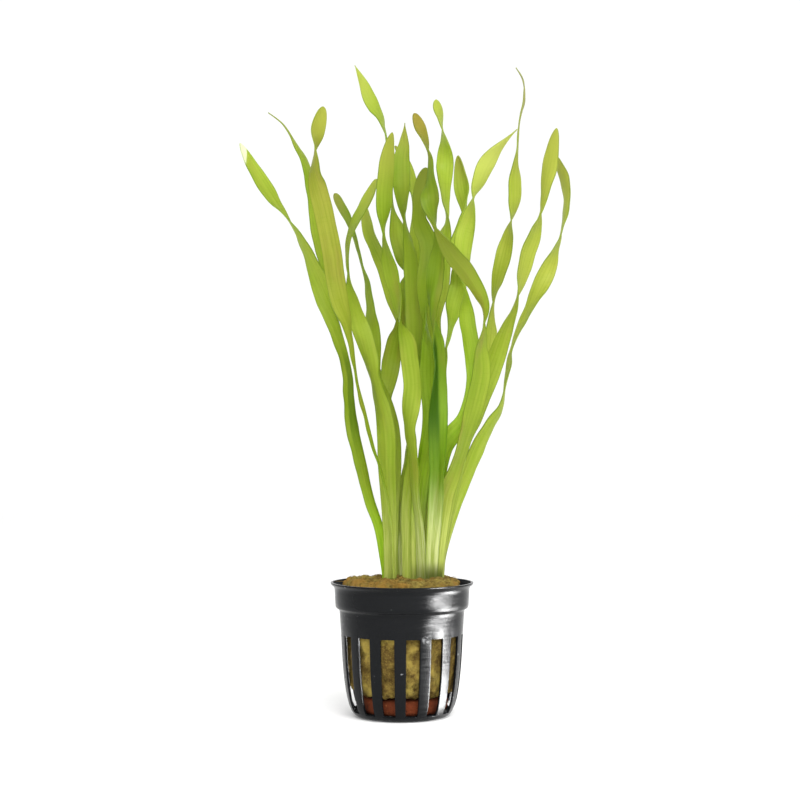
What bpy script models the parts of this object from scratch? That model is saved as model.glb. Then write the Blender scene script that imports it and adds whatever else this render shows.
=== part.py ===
"""Potted vallisneria: strap leaves in a rock wool plug, in a black net basket.

Metres, +Z up. The origin is the middle of the basket's underside, and -Y is the front.
The tables below are in millimetres and degrees.
"""

import math

import bmesh
import bpy
from mathutils import Matrix, Vector

MM = 0.001

# Basket
LIP_RADIUS = 27.5
LIP_THICKNESS = 1.2
LIP_SLOPE = 0.4
COLLAR_RADIUS = 26.0
COLLAR_TAPER = 0.3
SHOULDER_RISE = 1.2
BASKET_HEIGHT = 51.0
BASKET_WALL = 1.2
BASKET_FLOOR = 1.5
BASKET_SEGMENTS = 60
SLOT_COUNT = 15
SLOT_WIDTH = 5.0
SLOT_NARROWING = 0.82
SLOT_BOTTOM = 2.2
SLOT_TOP = 31.4
FIRST_SLOT_ANGLE = 10.5
SLOT_CUTTER_RADIUS = 22.0
SLOT_CUTTER_DEPTH = 14.0
FLOOR_SLOT_COUNT = 6
FLOOR_SLOT_WIDTH = 3.0
FLOOR_SLOT_INNER = 5.0
FLOOR_SLOT_OUTER = 13.0

# Outer side of the basket below the collar: (radius, height), from the top down
BASKET_SIDE = [(24.1, 40.4), (23.5, 31.0), (22.9, 20.5), (22.1, 12.5), (21.1, 6.6), (19.25, 2.0)]
BASKET_FOOT_RADIUS = 17.0

# Clay weight and rock wool
GAP = 0.3
CLAY_RADIUS = 17.8
CLAY_TOP = 8.3
CLAY_ROUNDING = 1.2
CLAY_TAPER = 0.5
CLAY_FOOT_ROUNDING = 1.1
CLAY_SEGMENTS = 40
# Each (radius, height): the wool's top from the middle outwards, then its side downwards
WOOL_CROWN = [(0, 53.2), (9, 53.0), (16, 52.9)]
WOOL_SIDE = [(21.0, 51.4), (22.2, 48.0), (22.2, 41.0), (21.9, 31.0), (21.3, 20.5), (20.6, 13.5), (19.4, 9.4)]
WOOL_FOOT_RADIUS = 17.0
WOOL_UNDERSIDE = 8.9
WOOL_TOP = WOOL_CROWN[0][1]
WOOL_SEGMENTS = 32
# The plug swells by these in wide and in narrow waves round it, and its top heaves above this height.
WOOL_WAVES = (0.5, 0.3)
WIDE_WAVES = 3
NARROW_WAVES = 5
WAVES_TURNED = 0.8
WAVE_CLIMB = 6.0
WOOL_HEAVES_ABOVE = 40.0
WOOL_DENTS = 0.6
POCKET_FLOOR = 46.0
POCKET_CLEARANCE = 5.0
POCKET_SEGMENTS = 16
# The plant stands this far to the right of the basket's axis.
PLANT_ACROSS = 0.8
# Planting pockets, measured from the plant: (across, toward, half width, half depth)
POCKETS = [(-5.2, 1.2, 4.0, 8.2), (2.4, -0.2, 6.6, 6.2), (11.9, 0.8, 5.9, 7.6)]

# Leaf blades
BLADE_THICKNESS = 0.5
COMMON_WIDTH = 7.2
BASE_SHARE = 0.6
BASE_LENGTH = 62.0
LEAST_TIP_SHARE = 0.06
LONGEST_STEP = 10.0
MOST_TURN_STEP = 21.0
# Where the points of a leaf's last span lie: close together, so that the tip comes out round
TIP_SHARES = (0, 0.28, 0.52, 0.72, 0.87, 0.96)
LEAF_FOOT = POCKET_FLOOR + 3 * GAP
# The leaves are laid out as they look from the front, for an eye straight before the plant,
# this far off and this high. A point that is moved towards the eye keeps its place in that view.
EYE_DISTANCE = 580.0
EYE_HEIGHT = 101.0

# Each leaf: (name, width, length of the tip's taper, power of the taper, stations from the
# foot to the tip). A power of 0.5 rounds the tip and a power over 1 draws it out to a point.
# A station is (across, height, toward the front, turn about the spine from facing front).
LEAVES = [
    ("leaf_01", 7.2, 24, 0.6, [
        (-6.2, LEAF_FOOT, 1.0, 5), (-6.6, 56, 1.1, 15), (-9.6, 71, 2.0, 50), (-13.7, 83, 2.8, 55),
        (-16.6, 95, 3.6, 55), (-20.1, 110, 4.8, 52), (-21.7, 122, 6.0, 63), (-22.3, 130, 6.8, 69),
        (-24.7, 141, 8.0, 66), (-28.3, 153, 9.2, 40), (-30.7, 160.5, 10, 8), (-34.0, 170, 11, -32),
        (-38.1, 180, 12.4, -63), (-44.3, 191, 13.4, -90), (-50.6, 199.3, 14.4, -126),
        (-55.6, 207, 15.2, -140), (-59.2, 212.8, 15.6, -140), (-63.9, 221.4, 16, -134),
    ]),
    ("leaf_02", 7.2, 12, 0.5, [
        (-3.9, LEAF_FOOT, 5.6, 85), (-4.1, 58, 6.2, 86), (-5.0, 75, 8.0, 88), (-8.0, 90, 10.8, 88),
        (-12.0, 102.6, 13, 86), (-15.9, 118, 15, 82), (-18.4, 128, 16.5, 88), (-20.3, 141, 19, 80),
        (-22.4, 151, 21, 60), (-24.9, 159, 22.3, 28), (-26.6, 168, 23.6, 2), (-28.3, 180, 25.8, -2),
        (-31.5, 195.4, 28.6, -8), (-33.6, 204, 30, -20), (-34.6, 210, 31, -55), (-34.2, 219.5, 32.4, -90),
        (-33.4, 227, 33.2, -132), (-31.3, 235.7, 34, -140),
    ]),
    ("leaf_03", 7.0, 40, 0.9, [
        (-4.2, LEAF_FOOT, -4.2, 0), (-4.6, 60, -4.7, 0), (-5.7, 78, -6.0, 5), (-6.2, 95, -8, 10),
        (-6.6, 110, -10, 15), (-8.1, 122, -12, 35), (-11.2, 132, -13.5, 50), (-14.7, 141, -15, 62),
        (-19.7, 151, -17, 75), (-24.0, 160.6, -18.5, 66), (-28.6, 169, -20, 55), (-32.6, 182, -22, 42),
        (-34.1, 192, -23.5, 40), (-35.4, 202, -25.4, 46), (-38.3, 213, -27, 62), (-43.0, 222, -28.4, 76),
        (-47.2, 228.7, -29.2, 82), (-53.0, 233.4, -30, 84),
    ]),
    ("leaf_04", 7.0, 12, 0.5, [
        (-5.6, LEAF_FOOT, 2.2, 0), (-5.4, 60, 2.5, 0), (-5.8, 80, 3.4, 0), (-6.6, 95, 5, 0),
        (-6.8, 106, 6, -5), (-7.6, 115, 7, -25), (-9.4, 123, 7.6, -48), (-11.2, 130, 8.2, -55),
        (-13.0, 138, 9, -36), (-15.6, 146, 9.8, -8), (-17.6, 151, 10.3, 18), (-19.4, 157, 11, 44),
        (-21.2, 165, 12, 72), (-21.9, 171, 12.5, 90), (-22.2, 179, 13.4, 104), (-21.0, 186, 14.2, 108),
        (-18.4, 192, 14.8, 124), (-14.1, 200, 15.5, 127), (-10.8, 207.4, 16, 122),
    ]),
    ("leaf_05", 6.6, 4, 0.5, [
        (-4.9, LEAF_FOOT, -0.5, 0), (-4.8, 60, -0.4, 0), (-4.6, 80, 0.1, 0), (-4.2, 95, 0.6, 0),
        (-4.8, 108, 1, 5), (-7.2, 120, 1, 38), (-10.4, 128, 1, 54), (-11.8, 135, 1, 40),
        (-12.2, 143, 0.8, 8), (-12.6, 152, 0.5, -45), (-13.4, 160, 0.2, -65), (-14.4, 167, 0, -76),
        (-16.5, 175, -0.6, -86), (-19.0, 184, -1.0, -80), (-21.6, 191.4, -1.5, -68), (-27.1, 201.6, -2, -64),
    ]),
    ("leaf_06", 7.2, 11, 0.5, [
        (-5.0, LEAF_FOOT, -1.8, 0), (-4.7, 60, -1.9, 0), (-4.6, 80, -2.4, -5), (-5.4, 97, -3.2, -22),
        (-6.2, 110, -4, -50), (-6.4, 119, -4.8, -65), (-6.2, 125, -5.4, -54), (-5.4, 132, -6.2, -16),
        (-4.6, 139, -7, 26), (-3.7, 144.5, -7.6, 43), (-2.6, 149.5, -8, 76), (-3.3, 157, -8.8, 122),
        (-5.2, 164.5, -9.5, 145), (-7.7, 173, -11, 142), (-11.6, 181, -12, 128), (-14.2, 188, -13, 125),
        (-15.6, 197, -14.5, 125),
    ]),
    ("leaf_07", 7.0, 18, 0.6, [
        (6.6, LEAF_FOOT, 3.5, -18), (6.8, 58, 4.1, -33), (6.0, 72, 5.6, -55), (4.5, 84, 7.2, -64),
        (3.9, 96, 9, -62), (2.8, 105, 10.4, -61), (2.2, 111, 11.2, -55), (2.7, 118, 12.2, -18),
        (3.2, 127, 13.6, 18), (2.2, 136, 15, 18), (1.2, 143.5, 16.2, 24), (-1.6, 151, 17.5, 84),
        (-3.1, 161, 19, 122), (-5.0, 170, 20.4, 138), (-7.2, 180, 21.8, 112), (-8.2, 188, 23, 80),
        (-7.9, 197, 25, 40), (-7.3, 207, 26.6, 32), (-6.2, 218, 28.6, 38), (-4.6, 225.6, 30, 45),
    ]),
    ("leaf_08", 7.4, 26, 1.1, [
        (0.3, LEAF_FOOT, -1.9, 0), (0.3, 62, -2.3, 0), (0.4, 79, -3.0, -15), (1.6, 92, -3.6, -42),
        (2.6, 103, -4.6, -65), (2.6, 114, -5.6, -68), (3.0, 124, -6.6, -52), (2.4, 138, -8.2, -45),
        (2.2, 153, -10.2, -12), (1.6, 163.5, -11.9, -6), (2.5, 171.2, -13, -56), (0.2, 177, -13.8, -10), (-2.0, 184, -14.8, 16),
        (-3.2, 191, -15.8, 56), (-4.8, 198, -16.6, 92), (-6.2, 211, -18, 126), (-7.0, 222.5, -19, 92),
        (-9.1, 230.3, -19.8, 70), (-11.5, 235, -20.5, 46), (-13.6, 239.2, -20.9, 22),
        (-15.7, 244.6, -21.4, 14), (-19.2, 251.9, -22, 14),
    ]),
    ("leaf_09", 7.0, 20, 1.3, [
        (1.5, LEAF_FOOT, 0.0, 0), (1.5, 62, 0.3, 0), (1.7, 79, 1.0, 12), (2.4, 91, 2.0, 40),
        (3.0, 103, 3.0, 62), (2.9, 113, 3.2, 66), (3.4, 124, 2.8, 48), (3.6, 138, 1, 32),
        (3.8, 150, -1, 24), (3.5, 162, -2.4, 24), (2.6, 175, -4.4, 36), (1.2, 185, -5.8, 68),
        (0.0, 192, -7, 92), (-0.6, 199, -7.6, 130), (-1.0, 206, -8.2, 166), (-1.0, 215, -9, 178),
        (-0.1, 221, -9.4, 168), (0.3, 229.3, -10, 160),
    ]),
    ("leaf_10", 6.8, 12, 0.6, [
        (2.8, LEAF_FOOT, -3.9, 0), (2.8, 60, -4.2, 0), (3.4, 77, -5.2, 5), (6.2, 91, -7.2, 20),
        (9.4, 104, -9.6, 46), (10.8, 116, -12, 38), (10.2, 128, -14, 24), (6.8, 140, -16.4, 20),
        (6.0, 150, -18, 8), (6.6, 160, -19.4, -8), (5.9, 174, -21.6, -20), (5.1, 187, -24, -32),
        (4.4, 192.5, -25, -64), (3.8, 198, -26.2, -88), (2.9, 206, -28.2, -130), (0.6, 214, -29.8, -128),
        (-3.4, 220.4, -31, -124),
    ]),
    ("leaf_11", 7.0, 11, 0.5, [
        (5.1, LEAF_FOOT, 1.7, 0), (5.1, 60, 1.8, 0), (5.4, 74, 2.2, -4), (6.4, 86, 3.1, -18),
        (8.3, 98, 4.2, -30), (10.2, 108, 5, -10), (10.7, 117, 5.4, 2), (9.4, 128, 5.6, 14),
        (9.1, 138, 5.9, 36), (8.5, 149, 6.1, 80), (7.5, 157, 6.3, 112), (8.2, 168, 6.6, 156),
        (9.6, 177, 6.9, 172), (9.2, 183, 7, 168), (7.3, 187.5, 7.2, 154), (5.9, 192, 7.3, 138),
        (6.4, 198, 7.6, 146), (7.4, 205, 8, 170), (8.6, 211.8, 8.4, 180),
    ]),
    ("leaf_12", 7.2, 14, 0.5, [
        (10.6, LEAF_FOOT, 5.7, 0), (10.9, 62, 6.4, 0), (12.0, 79, 8, -15), (12.6, 93, 10, -38),
        (13.0, 105, 11.8, -18), (13.3, 115, 12.4, 4), (13.8, 124, 12.8, 36), (14.1, 134, 13.1, 52),
        (13.3, 145, 13.5, 58), (12.1, 153, 13.8, 92), (11.7, 160, 14, 126), (12.3, 172, 14.3, 154),
        (13.2, 182, 14.5, 114), (11.9, 189, 14.8, 86), (10.0, 197, 15.1, 26), (10.4, 205, 15.4, -54),
        (10.2, 215.5, 16, -84), (8.9, 220.5, 16.3, -104), (7.6, 224.4, 16.5, -119), (6.1, 228.3, 16.8, -142),
        (4.1, 233.2, 17, -150),
    ]),
    ("leaf_13", 7.0, 9, 0.5, [
        (8.2, LEAF_FOOT, -1.4, 0), (8.5, 60, -1.6, 0), (9.6, 76, -2.2, 8), (10.3, 93, -3.2, 26),
        (10.8, 108, -4.8, 30), (10.8, 122, -6.5, 30), (11.3, 137, -9, 22), (11.4, 150, -11, -35),
        (12.3, 157.5, -12, -30), (14.1, 164, -13, -16), (14.8, 173, -14.6, -18), (15.7, 184, -16.4, -42),
        (16.9, 192, -17.8, -90), (16.1, 200, -19, -120), (15.9, 209, -20.6, -152), (15.9, 216, -21.8, -208),
        (15.2, 222, -22.6, -248), (14.7, 226.4, -23.4, -270), (14.0, 230, -24.2, -287),
        (13.3, 234.4, -25.2, -310), (12.6, 238.4, -26, -318),
    ]),
    ("leaf_14", 7.0, 15, 0.6, [
        (10.2, LEAF_FOOT, 1.5, 0), (10.9, 62, 1.8, 0), (12.0, 78, 2.3, -8), (12.6, 92, 2.7, -28),
        (13.5, 108, 3, -44), (14.4, 122, 2.6, -56), (15.5, 133, 1.8, -76), (16.6, 141.5, 1, -92),
        (18.2, 150, 0.2, -110), (19.6, 158.5, -0.4, -165), (20.8, 166, -1, -206), (19.2, 172.8, -1.6, -268),
        (20.0, 182, -2.5, -305), (22.0, 190, -3.2, -286), (22.9, 197, -3.8, -256), (22.3, 204, -4.5, -216),
        (21.4, 211, -5.3, -224), (20.9, 216.5, -6, -228),
    ]),
    ("leaf_15", 7.0, 20, 1.5, [
        (11.6, LEAF_FOOT, 2.9, 0), (11.9, 62, 3.1, 0), (12.3, 80, 4.4, 4), (13.0, 92, 5.7, 10),
        (15.2, 102, 7, 14), (18.4, 107.5, 8, 10), (23.4, 113, 9.2, 4), (26.6, 121, 10.4, 2),
        (27.8, 130, 11.3, 0), (27.0, 138, 12, -22), (25.6, 146, 13.2, -40), (24.4, 154, 14.8, -36),
        (24.2, 162, 16.2, -82), (22.9, 172, 17.4, -128),
        (23.2, 183, 19, -178), (25.2, 192, 20.2, -226), (26.7, 199.7, 21, -270), (29.0, 206.4, 22, -310),
        (32.4, 213.8, 23.2, -334), (37.2, 220, 24.6, -306), (44.1, 226.8, 26, -296),
    ]),
    ("leaf_16", 7.4, 16, 2.8, [
        (12.0, LEAF_FOOT, 4.4, 0), (13.2, 62, 4.7, 0), (15.8, 83, 6.4, 8), (18.6, 91, 7.6, 34),
        (21.2, 98, 8.8, 50), (23.1, 104, 10.2, 50), (25.4, 112, 12, 34), (27.6, 120, 14, 14),
        (30.0, 131, 17.2, 20), (30.0, 141, 20, 50), (31.2, 150.5, 22.6, 88),
        (31.3, 158, 24.8, 108), (28.1, 165, 27.2, 129), (23.6, 171.8, 29.6, 142),
        (19.0, 177.4, 31.6, 138), (14.6, 184, 33.8, 128), (8.9, 192.7, 36, 122),
    ]),
    ("leaf_17", 6.8, 70, 0.9, [
        (13.2, LEAF_FOOT, -1.6, 0), (13.9, 62, -1.8, 0), (15.8, 74, -2, 4), (18.8, 87, -2.2, 28),
        (21.2, 96, -2.4, 46), (22.9, 103, -2.6, 50), (25.0, 109.5, -2.9, 34), (27.8, 116.5, -3.2, 8),
        (32.0, 128.5, -3.8, 2), (33.4, 141, -4.4, 26), (34.0, 151.5, -5, 60),
        (34.6, 159.4, -5.5, 90), (36.3, 168, -6.1, 126), (38.5, 177, -6.7, 154),
        (40.0, 184, -7.2, 126), (41.4, 191.2, -7.5, 90), (42.9, 199, -8, 40), (43.2, 206, -8.3, 36),
        (43.4, 211, -8.5, 56), (43.9, 216.7, -8.8, 77), (44.3, 223, -9, 88), (44.9, 230, -9.3, 84),
        (46.9, 239, -9.6, 78), (46.4, 246.1, -9.9, 90), (43.7, 251, -10, 102),
    ]),
    ("leaf_18", 7.4, 18, 0.6, [
        (12.9, LEAF_FOOT, -0.2, 0), (13.6, 60, 0.0, 0), (16.2, 79, 0.4, 14), (19.6, 92, 0.8, 44),
        (22.6, 103, 1.3, 52), (24.4, 109, 1.7, 36), (27.2, 117, 2.2, 8), (31.3, 126, 3, -2),
        (35.4, 136.5, 4, -18),
        (39.2, 147, 5, -50), (42.1, 154, 5.5, -68), (44.2, 160.5, 6, -90), (46.1, 169, 7, -124),
        (48.4, 178.5, 8, -143), (51.2, 186, 8.8, -126), (53.7, 195, 9.8, -90), (54.9, 202, 10.7, -68),
        (56.9, 212.5, 12, -44), (58.2, 220.6, 13.2, -42), (59.6, 227.2, 14, -42),
    ]),
    ("leaf_19", 7.0, 16, 0.6, [
        (13.0, LEAF_FOOT, -3.2, 0), (13.8, 60, -3.5, 0), (16.6, 72, -4.4, 8), (20.2, 83, -6, 22),
        (24.4, 93, -7.8, 36), (28.4, 102.5, -9.4, 38), (32.8, 111, -11, 52), (37.5, 118.5, -12.4, 73),
        (38.8, 126, -13.6, 88), (40.5, 134, -15, 102), (41.4, 140.5, -16.3, 92), (44.5, 148.5, -18, 105),
        (48.6, 157, -19.8, 118), (52.4, 164.5, -21.4, 150), (56.9, 173.5, -23.6, 213),
        (60.2, 182, -25.6, 256), (61.9, 188.5, -27, 272), (63.4, 198, -29.4, 285), (62.6, 207, -31.6, 294),
        (58.6, 217, -34, 298),
    ]),
]

LEAF_GREENS = {
    "leaf_01": (0.30, 0.42, 0.06), "leaf_02": (0.46, 0.52, 0.09), "leaf_03": (0.22, 0.36, 0.05),
    "leaf_04": (0.38, 0.50, 0.07), "leaf_05": (0.16, 0.28, 0.03), "leaf_06": (0.28, 0.42, 0.05),
    "leaf_07": (0.42, 0.50, 0.08), "leaf_08": (0.30, 0.44, 0.06), "leaf_09": (0.32, 0.42, 0.06),
    "leaf_10": (0.26, 0.38, 0.05), "leaf_11": (0.28, 0.38, 0.05), "leaf_12": (0.14, 0.27, 0.03),
    "leaf_13": (0.30, 0.42, 0.06), "leaf_14": (0.34, 0.46, 0.07), "leaf_15": (0.38, 0.48, 0.08),
    "leaf_16": (0.32, 0.40, 0.06), "leaf_17": (0.34, 0.46, 0.07), "leaf_18": (0.34, 0.46, 0.07),
    "leaf_19": (0.28, 0.42, 0.06),
}
BLACK = (0.012, 0.012, 0.013)
TERRACOTTA = (0.30, 0.09, 0.035)
WOOL_BROWN = (0.30, 0.21, 0.07)


def clear_scene():
    for obj in list(bpy.data.objects):
        bpy.data.objects.remove(obj)


def new_collection(name):
    collection = bpy.data.collections.new(name)
    bpy.context.scene.collection.children.link(collection)
    return collection


def material(name, colour, roughness):
    made = bpy.data.materials.new(name)
    made.use_nodes = True
    shader = made.node_tree.nodes["Principled BSDF"]
    shader.inputs["Base Color"].default_value = (*colour, 1.0)
    shader.inputs["Roughness"].default_value = roughness
    shader.inputs["Metallic"].default_value = 0.0
    return made


def mesh_object(name, bm, collection):
    mesh = bpy.data.meshes.new(name)
    bm.to_mesh(mesh)
    bm.free()
    obj = bpy.data.objects.new(name, mesh)
    collection.objects.link(obj)
    return obj


def as_cutter(obj):
    obj.hide_render = True
    obj.display_type = "WIRE"
    return obj


def cut(obj, cutters):
    for cutter in cutters:
        modifier = obj.modifiers.new(cutter.name, "BOOLEAN")
        modifier.operation = "DIFFERENCE"
        modifier.solver = "EXACT"
        modifier.object = cutter


def turned(name, profile, segments, collection):
    """A round solid from a profile of (radius, height) that runs up inside and down outside."""
    bm = bmesh.new()
    points = [bm.verts.new((radius * MM, 0, height * MM)) for radius, height in profile]
    for start, end in zip(points, points[1:]):
        bm.edges.new((start, end))
    obj = mesh_object(name, bm, collection)
    screw = obj.modifiers.new("Turn", "SCREW")
    screw.axis = "Z"
    screw.steps = segments
    screw.render_steps = segments
    screw.use_merge_vertices = True
    screw.merge_threshold = 0.00001
    return obj


def basket(parts, cutters):
    shoulder = BASKET_SIDE[0][1] + SHOULDER_RISE
    outer = [
        (LIP_RADIUS, BASKET_HEIGHT),
        (LIP_RADIUS, BASKET_HEIGHT - LIP_THICKNESS),
        (COLLAR_RADIUS, BASKET_HEIGHT - LIP_THICKNESS - LIP_SLOPE),
        (COLLAR_RADIUS - COLLAR_TAPER, shoulder),
        *BASKET_SIDE,
        (BASKET_FOOT_RADIUS, 0),
        (0, 0),
    ]
    inner = [
        (0, BASKET_FLOOR),
        (BASKET_FOOT_RADIUS, BASKET_FLOOR),
        *[(radius - BASKET_WALL, height) for radius, height in reversed(BASKET_SIDE[:-1])],
        (COLLAR_RADIUS - COLLAR_TAPER - BASKET_WALL, shoulder + LIP_SLOPE),
        (COLLAR_RADIUS - BASKET_WALL, BASKET_HEIGHT),
    ]
    obj = turned("net_pot", inner + outer, BASKET_SEGMENTS, parts)
    obj.data.materials.append(material("black_plastic", BLACK, 0.28))
    cut(obj, wall_slots(cutters) + floor_slots(cutters))
    return obj


def wall_slots(cutters):
    """Slots between the ribs, a little narrower at the foot, where the wall is narrower too."""
    made = []
    height = SLOT_TOP - SLOT_BOTTOM
    for number in range(SLOT_COUNT):
        bm = bmesh.new()
        bmesh.ops.create_cube(bm, size=1)
        bmesh.ops.scale(bm, vec=(SLOT_CUTTER_DEPTH * MM, SLOT_WIDTH * MM, height * MM), verts=bm.verts)
        bottom = [vert for vert in bm.verts if vert.co.z < 0]
        bmesh.ops.scale(bm, vec=(1, SLOT_NARROWING, 1), verts=bottom)
        middle = (SLOT_CUTTER_RADIUS * MM, 0, (SLOT_TOP + SLOT_BOTTOM) / 2 * MM)
        bmesh.ops.translate(bm, vec=middle, verts=bm.verts)
        angle = math.radians(FIRST_SLOT_ANGLE - 90 + 360 / SLOT_COUNT * number)
        bmesh.ops.rotate(bm, cent=(0, 0, 0), matrix=Matrix.Rotation(angle, 3, "Z"), verts=bm.verts)
        made.append(as_cutter(mesh_object(f"wall_slot_{number + 1:02d}", bm, cutters)))
    return made


def floor_slots(cutters):
    """Radial drain slots round a solid middle."""
    made = []
    length = FLOOR_SLOT_OUTER - FLOOR_SLOT_INNER
    for number in range(FLOOR_SLOT_COUNT):
        bm = bmesh.new()
        bmesh.ops.create_cube(bm, size=1)
        bmesh.ops.scale(bm, vec=(length * MM, FLOOR_SLOT_WIDTH * MM, 4 * BASKET_FLOOR * MM), verts=bm.verts)
        bmesh.ops.translate(bm, vec=((FLOOR_SLOT_INNER + length / 2) * MM, 0, 0), verts=bm.verts)
        angle = math.tau / FLOOR_SLOT_COUNT * number
        bmesh.ops.rotate(bm, cent=(0, 0, 0), matrix=Matrix.Rotation(angle, 3, "Z"), verts=bm.verts)
        made.append(as_cutter(mesh_object(f"floor_slot_{number + 1}", bm, cutters)))
    return made


def clay_weight(parts):
    underside = BASKET_FLOOR + GAP
    profile = [
        (0, CLAY_TOP),
        (CLAY_RADIUS - CLAY_ROUNDING, CLAY_TOP),
        (CLAY_RADIUS, CLAY_TOP - CLAY_ROUNDING),
        (CLAY_RADIUS - CLAY_TAPER, underside + CLAY_FOOT_ROUNDING),
        (CLAY_RADIUS - CLAY_TAPER - CLAY_FOOT_ROUNDING, underside),
        (0, underside),
    ]
    obj = turned("clay_weight", profile, CLAY_SEGMENTS, parts)
    obj.data.materials.append(material("terracotta", TERRACOTTA, 0.9))
    return obj


def wool_mound(radius, height, angle):
    """How far the soft plug swells or sinks here: a few low waves, none where it is hidden."""
    wide, narrow = WOOL_WAVES
    swell = wide * math.sin(WIDE_WAVES * angle + WAVES_TURNED)
    swell += narrow * math.sin(NARROW_WAVES * angle + height / WAVE_CLIMB)
    return swell * min(1.0, radius / WOOL_SIDE[0][0])


def rock_wool(parts, cutters):
    profile = [*WOOL_CROWN, *WOOL_SIDE, (WOOL_FOOT_RADIUS, WOOL_UNDERSIDE), (0, WOOL_UNDERSIDE)]
    rings = []
    bm = bmesh.new()
    for radius, height in profile:
        ring = []
        for step in range(WOOL_SEGMENTS if radius else 1):
            angle = math.tau * step / WOOL_SEGMENTS
            lift = wool_mound(radius, height, angle) if height > WOOL_HEAVES_ABOVE else 0
            reach = radius - abs(wool_mound(radius, height, angle)) * WOOL_DENTS
            reach = max(reach, 0)
            point = (reach * math.cos(angle), reach * math.sin(angle), height + lift)
            ring.append(bm.verts.new([value * MM for value in point]))
        rings.append(ring)
    for upper, lower in zip(rings, rings[1:]):
        for step in range(WOOL_SEGMENTS):
            after = (step + 1) % WOOL_SEGMENTS
            if len(upper) == 1:
                bm.faces.new((upper[0], lower[step], lower[after]))
            elif len(lower) == 1:
                bm.faces.new((upper[step], lower[0], upper[after]))
            else:
                bm.faces.new((upper[step], lower[step], lower[after], upper[after]))
    obj = mesh_object("rock_wool", bm, parts)
    obj.data.materials.append(material("rock_wool_fibre", WOOL_BROWN, 0.95))
    cut(obj, planting_pockets(cutters))
    return obj


def planting_pockets(cutters):
    made = []
    depth = WOOL_TOP + POCKET_CLEARANCE - POCKET_FLOOR
    for number, (across, toward, half_width, half_depth) in enumerate(POCKETS):
        bm = bmesh.new()
        bmesh.ops.create_cone(
            bm, cap_ends=True, segments=POCKET_SEGMENTS, radius1=MM, radius2=MM, depth=depth * MM
        )
        bmesh.ops.scale(bm, vec=(half_width, half_depth, 1), verts=bm.verts)
        place = ((across + PLANT_ACROSS) * MM, -toward * MM, (POCKET_FLOOR + depth / 2) * MM)
        bmesh.ops.translate(bm, vec=place, verts=bm.verts)
        made.append(as_cutter(mesh_object(f"pocket_{number + 1}", bm, cutters)))
    return made


def between(before, start, end, after, share):
    """A point on the smooth curve through four values, share of the way from start to end."""
    return 0.5 * (
        2 * start
        + (end - before) * share
        + (2 * before - 5 * start + 4 * end - after) * share**2
        + (3 * start - before - 3 * end + after) * share**3
    )


def steps_in(start, end):
    """How many pieces a span takes: short where the blade turns fast."""
    length = math.dist(start[:3], end[:3])
    turn = abs(end[3] - start[3])
    return max(1, round(length / LONGEST_STEP), math.ceil(turn / MOST_TURN_STEP))


def smoothed(stations):
    """The stations with points added between them, on a smooth curve through all of them."""
    padded = [stations[0], *stations, stations[-1]]
    points = []
    for number in range(len(stations) - 1):
        four = padded[number : number + 4]
        steps = steps_in(four[1], four[2])
        shares = [step / steps for step in range(steps)]
        if number == len(stations) - 2:
            shares = TIP_SHARES
        for share in shares:
            points.append([between(*values, share) for values in zip(*four)])
    points.append(list(stations[-1]))
    return points


def in_drawing(across, height, toward):
    """A station's place in the leaves' drawing plane: right, up and towards the viewer."""
    share = 1 - toward / EYE_DISTANCE
    right = across * share + PLANT_ACROSS
    return Vector((right, EYE_HEIGHT + (height - EYE_HEIGHT) * share, toward)) * MM


def blade_share(along, length, taper, tip_power):
    """The blade's width here as a share of its full width: narrower at the foot and the tip."""
    foot = min(1.0, along / BASE_LENGTH)
    from_tip = min(1.0, (length - along) / taper)
    foot_share = BASE_SHARE + (1 - BASE_SHARE) * foot * foot * (3 - 2 * foot)
    tip_share = (1 - (1 - from_tip) ** 2) ** tip_power
    return foot_share * max(tip_share, LEAST_TIP_SHARE)


def blade_section(cutters):
    """The blade's cross section, a flat lens of half a unit each way, for all the leaves."""
    curve = bpy.data.curves.new("blade_section", "CURVE")
    curve.dimensions = "2D"
    spline = curve.splines.new("POLY")
    half = BLADE_THICKNESS / COMMON_WIDTH / 2
    corners = [(-0.5, 0), (0, half), (0.5, 0), (0, -half)]
    spline.points.add(len(corners) - 1)
    for point, (x, y) in zip(spline.points, corners):
        point.co = (x * MM, y * MM, 0, 1)
    spline.use_cyclic_u = True
    obj = bpy.data.objects.new("blade_section", curve)
    cutters.objects.link(obj)
    return as_cutter(obj)


def leaf(name, width, taper, tip_power, stations, section, parts):
    """A strap leaf: a curve along its spine that carries the blade's section."""
    points = smoothed(stations)
    places = [in_drawing(*point[:3]) for point in points]
    along = [0.0]
    for start, end in zip(places, places[1:]):
        along.append(along[-1] + (end - start).length / MM)
    curve = bpy.data.curves.new(name, "CURVE")
    curve.dimensions = "3D"
    curve.twist_mode = "Z_UP"
    curve.bevel_mode = "OBJECT"
    curve.bevel_object = section
    curve.use_fill_caps = True
    spline = curve.splines.new("POLY")
    spline.points.add(len(points) - 1)
    for number, point in enumerate(spline.points):
        point.co = (*places[number], 1)
        point.tilt = math.radians(points[number][3])
        point.radius = width * blade_share(along[number], along[-1], taper, tip_power)
    obj = bpy.data.objects.new(name, curve)
    # The drawing plane stands upright and faces the front.
    obj.rotation_euler = (math.pi / 2, 0, 0)
    parts.objects.link(obj)
    # Both faces of a turning blade split the same way, so it keeps its thickness.
    split = obj.modifiers.new("Split", "TRIANGULATE")
    split.quad_method = "SHORTEST_DIAGONAL"
    curve.materials.append(material(f"{name}_green", LEAF_GREENS[name], 0.4))
    return obj


def main():
    clear_scene()
    parts = new_collection("potted_vallisneria")
    cutters = new_collection("cutters")
    for turned_part in (basket(parts, cutters), clay_weight(parts), rock_wool(parts, cutters)):
        turned_part.data.shade_smooth()
    section = blade_section(cutters)
    for name, width, taper, tip_power, stations in LEAVES:
        leaf(name, width, taper, tip_power, stations, section, parts)


main()
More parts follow.
